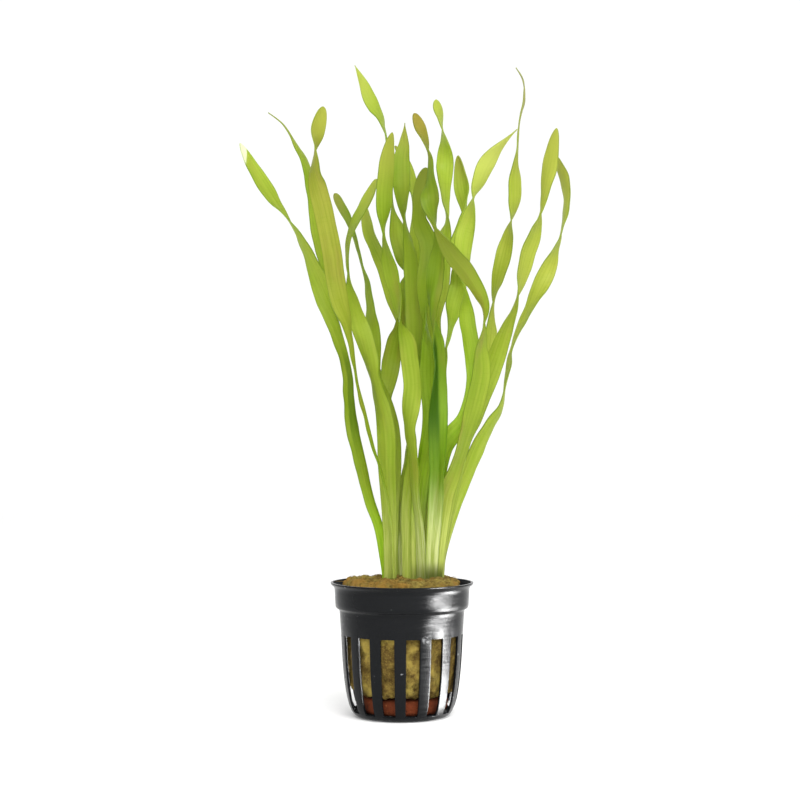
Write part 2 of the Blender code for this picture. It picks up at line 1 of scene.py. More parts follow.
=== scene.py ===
# %% [markdown]
# # Potted vallisneria
# A bunch of strap leaves stands in a plug of rock wool, in a black net basket with a disc of
# fired clay in its foot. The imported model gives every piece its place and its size. This
# lesson dresses it: a finer basket, a fibrous plug, a clay weight and nineteen thin blades
# that let the light through. Lengths in the tables are millimetres, and MM turns them into
# metres.

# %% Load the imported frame
import math
import random

import bmesh
import bpy
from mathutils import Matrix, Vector


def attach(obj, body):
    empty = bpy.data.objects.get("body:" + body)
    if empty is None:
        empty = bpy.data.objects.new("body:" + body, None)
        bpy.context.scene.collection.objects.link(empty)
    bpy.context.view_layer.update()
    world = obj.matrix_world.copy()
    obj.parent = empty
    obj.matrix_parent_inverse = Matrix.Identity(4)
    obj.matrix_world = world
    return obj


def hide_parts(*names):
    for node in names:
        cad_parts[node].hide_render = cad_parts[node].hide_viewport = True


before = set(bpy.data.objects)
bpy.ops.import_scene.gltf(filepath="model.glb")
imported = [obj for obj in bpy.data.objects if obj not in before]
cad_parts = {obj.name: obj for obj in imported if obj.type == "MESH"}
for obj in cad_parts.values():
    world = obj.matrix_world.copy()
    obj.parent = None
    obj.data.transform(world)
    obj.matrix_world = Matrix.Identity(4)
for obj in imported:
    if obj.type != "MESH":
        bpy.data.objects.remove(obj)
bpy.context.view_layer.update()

MM = 0.001
bpy.ops.object.select_all(action="DESELECT")

# %% [markdown]
# ## Camera, floor and light
# The photograph looks level at the middle of the plant from a little above the basket, from
# about six hundred millimetres away, so the basket's mouth shows as a thin ellipse. A long
# lens would flatten it, so the camera stands at that real distance. The plant stands a
# little right of the basket's axis, and so does the camera.

# %% Camera
PLANT_ACROSS = 0.8
EYE_DISTANCE = 580.0
EYE_HEIGHT = 101.0
LOOK_AT = (-0.75, 0.0, 121.2)
LENS = 67.4

camera = bpy.data.objects.new("camera", bpy.data.cameras.new("camera"))
bpy.context.scene.collection.objects.link(camera)
camera.data.lens = LENS
camera.location = Vector((PLANT_ACROSS, -EYE_DISTANCE, EYE_HEIGHT)) * MM
sight = Vector(LOOK_AT) * MM - camera.location
camera.rotation_euler = sight.to_track_quat("-Z", "Y").to_euler()
bpy.context.scene.camera = camera
print("camera", [round(value, 3) for value in camera.location])

# %% [markdown]
# The leaves are thin enough to glow with what is behind them. A white sweep all round does
# that, as in a light tent: the floor runs back and curves up into a wall. It is one plane,
# pulled up along its far edge in small steps, and smoothed.

# %% Floor that sweeps up behind
def edit(kind):
    """Edit mode on the active object, picking VERT, EDGE or FACE, with nothing picked."""
    bpy.ops.object.mode_set(mode="EDIT")
    bpy.ops.mesh.select_mode(type=kind)
    bpy.ops.mesh.select_all(action="DESELECT")


FLOOR_HALF = 1.6
SWEEP_RADIUS = 0.9
SWEEP_STEPS = 10
WALL_RISE = 1.6

bpy.ops.mesh.primitive_plane_add(size=2 * FLOOR_HALF, location=(0, 0, 0))
floor = bpy.context.object
floor.name = "floor"
edit("EDGE")
sheet = bmesh.from_edit_mesh(floor.data)
for edge in sheet.edges:
    edge.select_set(all(vert.co.y > 0 for vert in edge.verts))
bmesh.update_edit_mesh(floor.data)
step_angle = math.pi / 2 / SWEEP_STEPS
for step in range(SWEEP_STEPS):
    angle = (step + 0.5) * step_angle
    reach = SWEEP_RADIUS * step_angle
    bpy.ops.mesh.extrude_region_move(
        TRANSFORM_OT_translate={"value": (0, reach * math.cos(angle), reach * math.sin(angle))}
    )
bpy.ops.mesh.extrude_region_move(TRANSFORM_OT_translate={"value": (0, 0, WALL_RISE)})
bpy.ops.mesh.select_all(action="SELECT")
bpy.ops.mesh.normals_make_consistent(inside=False)
bpy.ops.object.mode_set(mode="OBJECT")
bpy.ops.object.shade_smooth()
print("floor and sweep:", len(floor.data.polygons), "faces")

# %% Node helpers
def connect(socket, value):
    """Gives an input its value, or links it to the output that feeds it. A colour is (r, g, b)."""
    if isinstance(value, bpy.types.NodeSocket):
        socket.id_data.links.new(value, socket)
    else:
        socket.default_value = (*value, 1) if socket.type == "RGBA" else value


def put(near, kind, inputs=None, **settings):
    """Adds a node to the tree that near, a node or a socket, is in."""
    made = near.id_data.nodes.new("ShaderNode" + kind)
    for name, value in settings.items():
        setattr(made, name, value)
    for name, value in (inputs or {}).items():
        connect(made.inputs[name], value)
    return made


def blend(share, under, over):
    """One colour over another; share is how much of the upper one shows."""
    return put(share, "Mix", {0: share, 6: under, 7: over}, data_type="RGBA").outputs[2]


def span(value, start, end):
    """0 where value is at start, 1 where it is at end, eased between them."""
    inputs = {"Value": value, "From Min": start, "From Max": end}
    return put(value, "MapRange", inputs, interpolation_type="SMOOTHSTEP").outputs[0]


def calculate(operation, first, second=0.0):
    return put(first, "Math", {0: first, 1: second}, operation=operation).outputs[0]


def times(first, second):
    return calculate("MULTIPLY", first, second)


def plus(first, second):
    return calculate("ADD", first, second)


def tinted(colour, where, strength, over):
    """The colour with another over it, as strong as strength where the mask is 1."""
    return blend(times(where, strength), colour, over)


def speckle(place, size, detail=3.0, roughness=0.5):
    """Noise from 0 to 1 whose clumps are about size across, in the units of place."""
    inputs = {"Vector": place, "Scale": 1 / size, "Detail": detail, "Roughness": roughness}
    return put(place, "TexNoise", inputs).outputs[0]


def new_material(name):
    """A material, its shader, and the place on the piece in metres."""
    made = bpy.data.materials.new(name)
    made.use_nodes = True
    shader = made.node_tree.nodes["Principled BSDF"]
    return made, shader, put(shader, "TexCoord").outputs["Object"]


def dress(shader, **inputs):
    """Connects the shader's sockets, such as Base_Color=colour."""
    for name, value in inputs.items():
        connect(shader.inputs[name.replace("_", " ")], value)


def bumped(shader, height, depth):
    """The shader's surface rises by depth metres where height is 1."""
    dress(shader, Normal=put(height, "Bump", {"Height": height, "Distance": depth}).outputs[0])


print("node helpers ready")

# %% [markdown]
# White paper isn't one flat colour: it has a soft, very fine tooth. The floor gets that, so
# it stays a surface and doesn't turn into an empty screen.

# %% White paper
TOOTH_SIZE = 0.004
TOOTH_DEPTH = 0.00005
PAPER_LOW = (0.93, 0.93, 0.93)
PAPER_HIGH = (0.96, 0.96, 0.955)

paper, shader, place = new_material("white_paper")
tooth = speckle(place, TOOTH_SIZE)
colour = blend(tooth, PAPER_LOW, PAPER_HIGH)
dress(shader, Base_Color=colour, Roughness=0.85, Specular_IOR_Level=0.2)
bumped(shader, tooth, TOOTH_DEPTH)
floor.data.materials.append(paper)
print("floor finished")

# %% [markdown]
# The light is a white room with two soft boxes, one high up and one before the plant. The
# room fills the leaves from all sides and shines through them. The boxes light the faces that
# are turned to the eye, and they wash the shadows out of the paper, as in the photograph.

# %% White surroundings and soft boxes
ROOM_STRENGTH = 1.0
AIM_HEIGHT = 120
SOFT_BOXES = [
    # name, direction seen from above in degrees from the front, height, distance, size, watts
    ("top_box", 25, 900, 700, (700, 500), 8.0),
    ("front_box", -12, 430, 900, (900, 600), 4.5),
]


def soft_light(name, size, watts, place, rotation):
    """A rectangular lamp; its size is in millimetres and its place in metres."""
    lamp = bpy.data.lights.new(name, "AREA")
    lamp.shape = "RECTANGLE"
    lamp.size = size[0] * MM
    lamp.size_y = size[1] * MM
    lamp.energy = watts
    box = bpy.data.objects.new(name, lamp)
    bpy.context.scene.collection.objects.link(box)
    box.location = place
    box.rotation_euler = rotation
    return box


room = bpy.data.worlds.new("white_room")
room.use_nodes = True
room.node_tree.nodes["Background"].inputs["Color"].default_value = (1, 1, 1, 1)
room.node_tree.nodes["Background"].inputs["Strength"].default_value = ROOM_STRENGTH
bpy.context.scene.world = room
bpy.context.scene.view_settings.view_transform = "Standard"
for name, azimuth, height, distance, size, watts in SOFT_BOXES:
    angle = math.radians(azimuth)
    place = Vector((math.sin(angle) * distance, -math.cos(angle) * distance, height)) * MM
    aim = Vector((0, 0, AIM_HEIGHT)) * MM - place
    soft_light(name, size, watts, place, aim.to_track_quat("-Z", "Y").to_euler())
print("lights:", [row[0] for row in SOFT_BOXES])

# %% [markdown]
# ## Shaping helpers
# Most round pieces start as a disc and are pulled up ring by ring, as a potter pulls a wall:
# the rim is extruded and then resized to the next radius. Soft and rough ones are subdivided
# and pushed in and out by a texture. A finished piece is settled: its place goes into its
# mesh, it rides on the body, and it stands for its node in the model.

# %% Shaping helpers
def select_only(obj):
    bpy.ops.object.select_all(action="DESELECT")
    obj.select_set(True)
    bpy.context.view_layer.objects.active = obj


def apply_modifiers(obj):
    select_only(obj)
    for modifier in list(obj.modifiers):
        bpy.ops.object.modifier_apply(modifier=modifier.name)


def settle(obj, slot, *stands_for):
    select_only(obj)
    bpy.ops.object.transform_apply(location=True, rotation=True, scale=True)
    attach(obj, "root")
    if stands_for:
        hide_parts(*stands_for)
    triangles = sum(len(face.vertices) - 2 for face in obj.data.polygons)
    print(obj.name, triangles, "triangles")


def pulled_up(name, profile, segments, turn=0.0, closed=True):
    """A round wall through (radius, height) rings, from a disc in the middle of its underside."""
    radius, height = profile[0]
    bpy.ops.mesh.primitive_circle_add(
        vertices=segments, radius=radius * MM, fill_type="TRIFAN",
        location=(0, 0, height * MM), rotation=(0, 0, turn)
    )
    obj = bpy.context.object
    obj.name = name
    bpy.ops.object.transform_apply(location=True, rotation=True, scale=True)
    edit("EDGE")
    bpy.ops.mesh.select_non_manifold()
    for (before, low), (after, high) in zip(profile, profile[1:]):
        rise = (0, 0, (high - low) * MM)
        bpy.ops.mesh.extrude_region_move(TRANSFORM_OT_translate={"value": rise})
        share = after / before
        bpy.ops.transform.resize(value=(share, share, 1), center_override=(0, 0, 0))
    if closed:
        bpy.ops.mesh.extrude_region_move()
        bpy.ops.mesh.merge(type="CENTER")
    bpy.ops.mesh.select_all(action="SELECT")
    bpy.ops.mesh.remove_doubles(threshold=0.000001)
    bpy.ops.mesh.normals_make_consistent(inside=False)
    bpy.ops.object.mode_set(mode="OBJECT")
    return obj


def smoothed(obj, levels):
    smooth = obj.modifiers.new("Smooth", "SUBSURF")
    smooth.levels = levels
    smooth.render_levels = levels


def pushed(obj, name, kind, size, strength, level):
    """Pushes the surface in and out by a texture; where that is at level, it stays put."""
    texture = bpy.data.textures.new(name, kind)
    texture.noise_scale = size
    push = obj.modifiers.new(name, "DISPLACE")
    push.texture = texture
    push.strength = strength
    push.mid_level = level
    return texture


print("shaping helpers ready")

# %% [markdown]
# ## Net basket
# The real basket is moulded in one shot of black plastic: a plain collar with a thin flared
# lip, a small step below it, and fifteen slots between straight ribs that turn in under the
# foot. It could be cut out of a solid, but a moulded wall is even, so it is made as a sheet
# first. The sheet's faces that lie in a slot are deleted, and Solidify then gives the ribs
# and the collar the same thickness.

# %% Basket sheet
WALL = 0.9
SLOTS = 15
FACES_A_SLOT = 11
FACES_A_RIB = 9
FIRST_SLOT = 10.5
SLOT_BOTTOM = 2.2
SLOT_TOP = 31.4
BASKET = [
    (4.0, 0.0), (13.5, 0.0), (16.4, 0.0), (17.8, 0.4), (18.8, 1.2), (19.45, SLOT_BOTTOM), (20.4, 4.2),
    (21.1, 6.6), (21.6, 9.2), (22.1, 12.5), (22.5, 16.0), (22.9, 20.5), (23.2, 25.5), (23.5, SLOT_TOP),
    (23.75, 35.5), (24.0, 39.0), (24.1, 40.2), (24.35, 40.7), (25.15, 41.2), (25.6, 41.7), (25.75, 43.0),
    (25.95, 47.5), (26.05, 48.8), (26.45, 49.5), (27.1, 50.0), (27.5, 50.5), (27.5, 51.0),
]
SEGMENTS = SLOTS * (FACES_A_SLOT + FACES_A_RIB)
slot_half = math.tau / SEGMENTS * FACES_A_SLOT / 2
first_slot = math.radians(FIRST_SLOT) - math.pi / 2

basket = pulled_up("basket", BASKET, SEGMENTS, first_slot - slot_half - math.pi / 2, closed=False)
print("basket sheet:", len(basket.data.polygons), "faces")

# %% Open the slots
def in_slot(place):
    """Whether a point of the wall, in metres, lies in one of the slots."""
    from_slot = (math.atan2(place.y, place.x) - first_slot) % (math.tau / SLOTS)
    near = min(from_slot, math.tau / SLOTS - from_slot)
    return near < slot_half and SLOT_BOTTOM * MM < place.z < SLOT_TOP * MM


edit("FACE")
sheet = bmesh.from_edit_mesh(basket.data)
outward = sum(
    face.normal.dot(Vector((face.calc_center_median().x, face.calc_center_median().y, 0)))
    for face in sheet.faces
)
if outward < 0:
    bpy.ops.mesh.select_all(action="SELECT")
    bpy.ops.mesh.flip_normals()
bpy.ops.mesh.select_all(action="DESELECT")
for face in sheet.faces:
    face.select_set(in_slot(face.calc_center_median()))
bmesh.update_edit_mesh(basket.data)
bpy.ops.mesh.delete(type="FACE")
bpy.ops.object.mode_set(mode="OBJECT")
print("slots opened:", SLOTS, "faces left:", len(basket.data.polygons))

# %% [markdown]
# The wall gets its thickness inwards. Six drain slots go through the floor: they are cut
# with bars set round in a star, joined into one cutter. Every sharp edge of a moulding is a
# little round, so a narrow bevel comes last and catches the light along the ribs.

# %% Thickness, drain slots and round edges
DRAINS = 6
DRAIN_BAR = (8.0, 3.0, 6.0)  # length, width, height
DRAIN_MIDDLE = 9.0
EDGE_ROUND = 0.22
ROUND_SEGMENTS = 2
SHARP = math.radians(38)

wall = basket.modifiers.new("Wall", "SOLIDIFY")
wall.thickness = WALL * MM
wall.offset = -1
wall.use_even_offset = True
apply_modifiers(basket)

bars = []
for number in range(DRAINS):
    angle = math.tau / DRAINS * number
    place = Vector((math.cos(angle), math.sin(angle), 0)) * DRAIN_MIDDLE * MM
    bpy.ops.mesh.primitive_cube_add(size=MM, location=place, rotation=(0, 0, angle), scale=DRAIN_BAR)
    bars.append(bpy.context.object)
for bar in bars:
    bar.select_set(True)
bpy.ops.object.join()
star = bpy.context.object
drain = basket.modifiers.new("Drains", "BOOLEAN")
drain.operation = "DIFFERENCE"
drain.solver = "EXACT"
drain.object = star
apply_modifiers(basket)
bpy.data.objects.remove(star)

rounding = basket.modifiers.new("Round edges", "BEVEL")
rounding.width = EDGE_ROUND * MM
rounding.segments = ROUND_SEGMENTS
rounding.limit_method = "ANGLE"
rounding.angle_limit = SHARP
rounding.use_clamp_overlap = True
apply_modifiers(basket)
bpy.ops.object.shade_smooth_by_angle(angle=SHARP)
settle(basket, "black_plastic", "net_pot")

# %% [markdown]
# The plastic is black, but it isn't a mirror. Its gloss is broken by fine rubbing round the
# wall, by cloudy patches, by a little dried lime in pale specks, and by one small pale spot at
# the corner of a slot. Roughness carries most of that, since colour hardly shows on black. The
# inside, where the normal points to the basket's axis, is duller.

# %% Black plastic
PLASTIC = (0.0042, 0.0047, 0.0054)
LIME_SPECK = (0.16, 0.165, 0.17)
PALE_SPOT_PLACE = (0.0088, -0.0218, 0.0312)
PALE_SPOT_FADE = (0.0017, 0.0004)
ROUND_THE_WALL = (1, 1, 9)
ROUGHNESS = (0.12, 0.25)
GLOSS = 0.10
LINING_GLOSS = 0.02
LINING_ROUGHNESS = 0.35
LINING = (-0.004, -0.012)
RUBBING_RISE = 1.4
GRAIN_RISE = 0.25
PLASTIC_RELIEF = 0.00006

plastic, shader, place = new_material("black_plastic")
level = put(place, "Mapping", {"Vector": place, "Scale": ROUND_THE_WALL}).outputs[0]
rubbing = speckle(level, 0.009, 5, 0.62)
cloudy = speckle(place, 0.013, 2)
grain = speckle(place, 0.0006, 2)
flakes = speckle(place, 0.0007, 2)
drops = speckle(place, 0.0016, 1)
lime = times(span(drops, 0.71, 0.76), span(cloudy, 0.5, 0.62))
# one small pale spot by a slot's corner, in the specks' colour
from_pale_spot = put(place, "VectorMath", {0: place, 1: PALE_SPOT_PLACE}, operation="DISTANCE").outputs["Value"]
pale_spot = times(span(from_pale_spot, *PALE_SPOT_FADE), span(flakes, 0.54, 0.58))
spots = calculate("MAXIMUM", lime, pale_spot)
dress(shader, Base_Color=blend(spots, PLASTIC, LIME_SPECK))

normal = put(place, "TexCoord").outputs["Normal"]
away = put(place, "VectorMath", {0: place, 1: (1, 1, 0)}, operation="MULTIPLY").outputs[0]
outward = put(place, "VectorMath", {0: normal, 1: away}, operation="DOT_PRODUCT").outputs["Value"]
inside = span(outward, *LINING)
worn = {"Value": plus(rubbing, cloudy), "From Min": 0.7, "From Max": 1.3}
worn.update({"To Min": ROUGHNESS[0], "To Max": ROUGHNESS[1]})
rough = put(place, "MapRange", worn).outputs[0]
rough = plus(rough, times(inside, LINING_ROUGHNESS))
gloss = put(place, "MapRange", {"Value": inside, "To Min": GLOSS, "To Max": LINING_GLOSS}).outputs[0]
dress(shader, Roughness=plus(rough, spots), Specular_IOR_Level=gloss)
relief = plus(times(rubbing, RUBBING_RISE), times(grain, GRAIN_RISE))
bumped(shader, relief, PLASTIC_RELIEF)
basket.data.materials.clear()
basket.data.materials.append(plastic)
print("basket finished")

# %% [markdown]
# In the photograph the basket mirrors a bright window on its right: softly on the collar,
# further round on the wall, and one rib is nearly white with it. Lights that strong would
# burn out the leaves, so three upright windows are linked to the basket alone, and only its
# gloss sees them. Seen from a little above, an upright wall mirrors what lies lower than
# itself, so the windows reach below the floor, which doesn't block them.

# %% Windows that the basket mirrors
MIRRORED = [
    # name, place, size, turn in degrees, watts
    ("high_window", (356, -223, -10), (120, 90), (90, 0, 58), 12.5),
    ("low_window", (408, -100, -120), (160, 130), (90, 0, 76), 29.0),
    ("rib_window", (420, 15, -185), (190, 190), (90, 0, 92), 56.0),
]

mirrored_by = bpy.data.collections.new("mirrored_by")
mirrored_by.objects.link(basket)
for name, place, size, turn, watts in MIRRORED:
    window = soft_light(name, size, watts, Vector(place) * MM, [math.radians(angle) for angle in turn])
    window.visible_camera = False
    window.visible_diffuse = False
    window.light_linking.receiver_collection = mirrored_by
    window.light_linking.blocker_collection = mirrored_by
print("mirrored:", [row[0] for row in MIRRORED])

# %% [markdown]
# ## Clay weight
# A disc of fired clay lies in the foot of the basket and shows as a red band in the slots.
# Pressed and fired clay has soft edges and small pits, so the turned disc has a rounded
# profile, is subdivided, and is pushed about by a cloud texture.

# %% Clay disc
CLAY = [
    (5.0, 1.9), (12.0, 1.85), (16.2, 1.9), (17.2, 2.6), (17.75, 5.0), (17.6, 7.2), (16.6, 8.2),
    (11.0, 8.3), (5.0, 8.3),
]
PITS = ("clay_pits", "CLOUDS", 0.0016, 0.0005, 0.75)

clay = pulled_up("clay_disc", CLAY, 72)
smoothed(clay, 2)
pushed(clay, *PITS).noise_depth = 3
apply_modifiers(clay)
bpy.ops.object.shade_smooth()
settle(clay, "terracotta", "clay_weight")

# %% Fired clay
FIRED = ((0.05, 0.011, 0.003), (0.18, 0.036, 0.010))
DARK_SAND = (0.05, 0.015, 0.006)
PALE_SAND = (0.24, 0.080, 0.028)

fired, shader, place = new_material("fired_clay")
blotch = speckle(place, 0.006, 4)
sand = speckle(place, 0.0007, 2)
colour = blend(blotch, *FIRED)
colour = blend(span(sand, 0.62, 0.70), colour, DARK_SAND)
colour = blend(span(sand, 0.36, 0.30), colour, PALE_SAND)
dress(shader, Base_Color=colour, Roughness=0.9, Specular_IOR_Level=0.2)
bumped(shader, sand, 0.0002)
clay.data.materials.append(fired)
print("clay finished")

# %% [markdown]
# ## Rock wool plug
# The plug is a wad of mineral wool that the roots are wrapped in. It is soft, so it bulges
# between creases, stands in a low mound round the leaves and looks fuzzy all over. Its body
# is pulled up as a round form, subdivided, and pushed in and out by three textures: folds,
# lumps and crumbs. Cloth simulation would only make it smoother, and wool is rough.

# %% Plug body
PLUG = [
    (5.0, 8.9), (12.0, 8.9), (17.0, 9.0), (19.2, 9.8), (20.3, 13.0), (21.0, 18.0), (21.4, 23.0),
    (21.7, 28.0), (21.9, 33.0), (22.2, 38.0), (22.6, 43.0), (22.7, 47.5), (22.4, 50.4), (21.0, 52.0),
    (18.6, 52.5), (15.0, 52.2), (12.0, 52.1), (8.0, 52.1), (4.0, 52.1),
]
PLUG_TEXTURES = [
    # name, texture, size, strength, level that stays put
    ("folds", "VORONOI", 0.0062, 0.0018, 0.50),
    ("lumps", "CLOUDS", 0.0055, 0.0032, 0.55),
    ("crumbs", "CLOUDS", 0.0011, 0.0009, 0.55),
]

plug = pulled_up("plug", PLUG, 64)
smoothed(plug, 3)
for row in PLUG_TEXTURES:
    pushed(plug, *row)
apply_modifiers(plug)
bpy.ops.object.shade_smooth()
settle(plug, "rock_wool", "rock_wool")

# %% [markdown]
# The wool's surface is thousands of short strands. Each is a thin curve that is laid on the
# plug point by point, by looking from outside for the surface below it. They share one curve
# object, which is turned into a mesh, and most of them lie round the plug, as it was rolled.
# A few tufts of strands side by side stand for the pale folded ends.

# %% Strand paths
STRANDS = 1500
TUFTS = 26
STRANDS_A_TUFT = 14
STRAND_POINTS = 7
STRAND_RADIUS = 0.055
FROM_WALL = 0.15
SUNK = 0.02
draw = random.Random(11)


def inside_wall(height):
    """Radius in metres that stays clear of the basket's wall at this height in metres."""
    for (below, low), (above, high) in zip(BASKET, BASKET[1:]):
        if low < high and height <= high * MM:
            share = max(0.0, (height / MM - low) / (high - low))
            return (below + (above - below) * share - WALL - FROM_WALL) * MM
    return (BASKET[-1][0] - WALL) * MM


def on_plug(place, from_top):
    """The point of the plug's surface below place, looked for from outside, and its normal."""
    if from_top:
        start = Vector((place.x, place.y, 0.07))
        sight = Vector((0, 0, -1))
    else:
        out = Vector((place.x, place.y, 0)).normalized()
        start = out * 0.03 + Vector((0, 0, place.z))
        sight = -out
    hit, spot, normal, _ = plug.ray_cast(start, sight)
    return (spot, normal) if hit else (place, -sight)


def strand(start, heading, step, wander, from_top, lift):
    """Points of one strand that leaves start and wanders over the plug."""
    points = []
    place = start.copy()
    for number in range(STRAND_POINTS):
        spot, normal = on_plug(place, from_top)
        arch = math.sin(math.pi * number / (STRAND_POINTS - 1))
        point = spot + normal * (SUNK + lift * arch) * MM
        pull = min(1.0, inside_wall(point.z) / max(math.hypot(point.x, point.y), MM))
        point.x *= pull
        point.y *= pull
        points.append(point)
        heading += draw.uniform(-wander, wander)
        along = Vector((0, 0, 1)).cross(normal)
        along = along.normalized() if along.length > 0.2 else Vector((1, 0, 0))
        up = normal.cross(along)
        place = spot + (along * math.cos(heading) + up * math.sin(heading)) * step * MM
    return points


print("strand of", STRAND_POINTS, "points ready")

# %% Lay the strands
ON_MOUND = 0.36
MOUND_RADIUS = 21.0
MOUND_TOP = 0.053
SIDE = (9.8, 49.5)
SIDE_HEADING = 0.7
MOUND_LIFT = (0.05, 0.7)
SIDE_LIFT = (0.0, 0.35)
STRAND_STEP = (0.7, 1.7)
STRAND_WANDER = 0.5
TUFT_SPREAD = 0.35
TUFT_WANDER = 0.15
TUFT_STEP = 0.65
TUFT_LIFT = (0.1, 0.8)


def plug_start():
    """A place on the plug for a strand, and whether it lies on the mound."""
    angle = draw.uniform(0, math.tau)
    if draw.random() < ON_MOUND:
        radius = MOUND_RADIUS * math.sqrt(draw.random()) * MM
        return Vector((radius * math.cos(angle), radius * math.sin(angle), MOUND_TOP)), True
    height = draw.uniform(*SIDE) * MM
    radius = MOUND_RADIUS * MM
    return Vector((radius * math.cos(angle), radius * math.sin(angle), height)), False


paths = []
for number in range(STRANDS):
    start, on_top = plug_start()
    heading = draw.uniform(0, math.tau) if on_top else draw.gauss(0, SIDE_HEADING)
    lift = draw.uniform(*(MOUND_LIFT if on_top else SIDE_LIFT))
    path = strand(start, heading, draw.uniform(*STRAND_STEP), STRAND_WANDER, on_top, lift)
    paths.append((path, 0, 1.0))
for number in range(TUFTS):
    start, on_top = plug_start()
    heading = draw.uniform(0, math.tau)
    for follower in range(STRANDS_A_TUFT):
        near = start + Vector([draw.gauss(0, TUFT_SPREAD) * MM for axis in range(3)])
        turned = heading + draw.gauss(0, TUFT_WANDER)
        path = strand(near, turned, TUFT_STEP, TUFT_WANDER, on_top, draw.uniform(*TUFT_LIFT))
        paths.append((path, 1, 1.4))
print("strands:", len(paths))

# %% Strands as one mesh
THIN_END = 0.35

wool_curve = bpy.data.curves.new("strands", "CURVE")
wool_curve.dimensions = "3D"
wool_curve.bevel_depth = STRAND_RADIUS * MM
wool_curve.bevel_resolution = 0
wool_curve.use_fill_caps = True
for path, look, thickness in paths:
    spline = wool_curve.splines.new("POLY")
    spline.points.add(len(path) - 1)
    for number, (point, place) in enumerate(zip(spline.points, path)):
        point.co = (*place, 1)
        from_end = min(number, len(path) - 1 - number) / (len(path) / 2)
        point.radius = thickness * (THIN_END + (1 - THIN_END) * min(1.0, 2 * from_end))
    spline.material_index = look
strands = bpy.data.objects.new("strands", wool_curve)
bpy.context.scene.collection.objects.link(strands)
select_only(strands)
bpy.ops.object.convert(target="MESH")
strands = bpy.context.object
bpy.ops.object.shade_smooth()
settle(strands, "rock_wool")

# %% [markdown]
# Wet rock wool is olive gold, darker in broad patches, browner on the damp top, and pale where a
# loose end has dried. The body's colour follows three sizes of noise, and painted shade makes it
# deeper behind the collar, where little light comes. The strands repeat it a little lighter, as
# painted light, because a thin strand catches more light than the wad below it.

# %% Wool finishes
IN_DARK_PATCHES = 0.75
ON_CRUMBS = 0.5
PAINTED_SHADE_BEHIND_COLLAR = 0.7
ON_DAMP_TOP = 0.85


def wool(name, deep, middle, pale, top):
    made, shader, place = new_material(name)
    wide = speckle(place, 0.008, 3)
    small = speckle(place, 0.0018, 4, 0.6)
    crumb = speckle(place, 0.0005, 2)
    height = put(place, "SeparateXYZ", {"Vector": place}).outputs["Z"]
    shaded = times(span(height, 0.028, 0.040), span(height, 0.049, 0.046))
    damp = times(span(height, 0.047, 0.051), span(wide, 0.56, 0.40))
    colour = blend(span(small, 0.35, 0.62), deep, middle)
    colour = blend(span(wide, 0.52, 0.70), colour, pale)
    # darker in broad patches of noise
    colour = tinted(colour, span(wide, 0.50, 0.36), IN_DARK_PATCHES, deep)
    colour = tinted(colour, span(crumb, 0.5, 0.75), ON_CRUMBS, pale)
    # painted shade: deeper behind the collar, where little light comes
    colour = tinted(colour, shaded, PAINTED_SHADE_BEHIND_COLLAR, deep)
    colour = tinted(colour, damp, ON_DAMP_TOP, top)
    dress(shader, Base_Color=colour, Roughness=0.95, Specular_IOR_Level=0.25)
    bumped(shader, crumb, 0.0003)
    return made


WOOLS = {
    # wool: (deep, middle, pale, damp top)
    "wool_body": ((0.07, 0.04, 0.007), (0.18, 0.124, 0.024), (0.3, 0.225, 0.045), (0.24, 0.135, 0.022)),
    # painted light: the strands are the body's colours made lighter, for the light a thin strand catches
    "wool_strand": ((0.11, 0.068, 0.013), (0.24, 0.17, 0.036), (0.36, 0.285, 0.075), (0.3, 0.18, 0.036)),
    "wool_tuft": ((0.4, 0.33, 0.12), (0.54, 0.47, 0.2), (0.66, 0.61, 0.32), (0.48, 0.37, 0.13)),
}
plug.data.materials.append(wool("wool_body", *WOOLS["wool_body"]))
for name in ("wool_strand", "wool_tuft"):
    strands.data.materials.append(wool(name, *WOOLS[name]))
print("wool finished:", len(strands.data.materials), "strand finishes")

# %% [markdown]
# ## Leaves
# Each leaf is one long strap, about seven millimetres wide and less than half a millimetre
# thick, which turns about its own spine as it climbs: it narrows to a line where it stands
# edge on and widens where it faces the eye. The table gives every leaf its width, how far and
# how sharply the tip tapers, its tones, and its stations from foot to tip, as they look from
# the front: across, height, how far towards the eye, and the turn in degrees. They are the
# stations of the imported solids. Only leaf_03's foot stands 0.4 mm further right.

# %% Leaf stations
FOOT = 46.9
TONES_AT = 3
# Tones: foot, lower part, upper part, tip, and how far the tip's reaches in centimetres
LEAVES = {}
LEAVES["leaf_01"] = (7.2, 24, 0.6, ("vivid", "fresh", "lime", "bleached", 0.3), [
    (-6.2, FOOT, 1.0, 5), (-6.6, 56, 1.1, 15), (-9.6, 71, 2.0, 50), (-13.7, 83, 2.8, 55),
    (-16.6, 95, 3.6, 55), (-20.1, 110, 4.8, 52), (-21.7, 122, 6.0, 63), (-22.3, 130, 6.8, 69),
    (-24.7, 141, 8.0, 66), (-28.3, 153, 9.2, 40), (-30.7, 160.5, 10, 8), (-34.0, 170, 11, -32),
    (-38.1, 180, 12.4, -63), (-44.3, 191, 13.4, -90), (-50.6, 199.3, 14.4, -126), (-55.6, 207, 15.2, -140),
    (-59.2, 212.8, 15.6, -140), (-63.9, 221.4, 16, -134),
])
LEAVES["leaf_02"] = (7.2, 12, 0.5, ("pale", "fresh", "olive", "yellow", 2.5), [
    (-3.9, FOOT, 5.6, 85), (-4.1, 58, 6.2, 86), (-5.0, 75, 8.0, 88), (-8.0, 90, 10.8, 88),
    (-12.0, 102.6, 13, 86), (-15.9, 118, 15, 82), (-18.4, 128, 16.5, 88), (-20.3, 141, 19, 80),
    (-22.4, 151, 21, 60), (-24.9, 159, 22.3, 28), (-26.6, 168, 23.6, 2), (-28.3, 180, 25.8, -2),
    (-31.5, 195.4, 28.6, -8), (-33.6, 204, 30, -20), (-34.6, 210, 31, -55), (-34.2, 219.5, 32.4, -90),
    (-33.4, 227, 33.2, -132), (-31.3, 235.7, 34, -140),
])
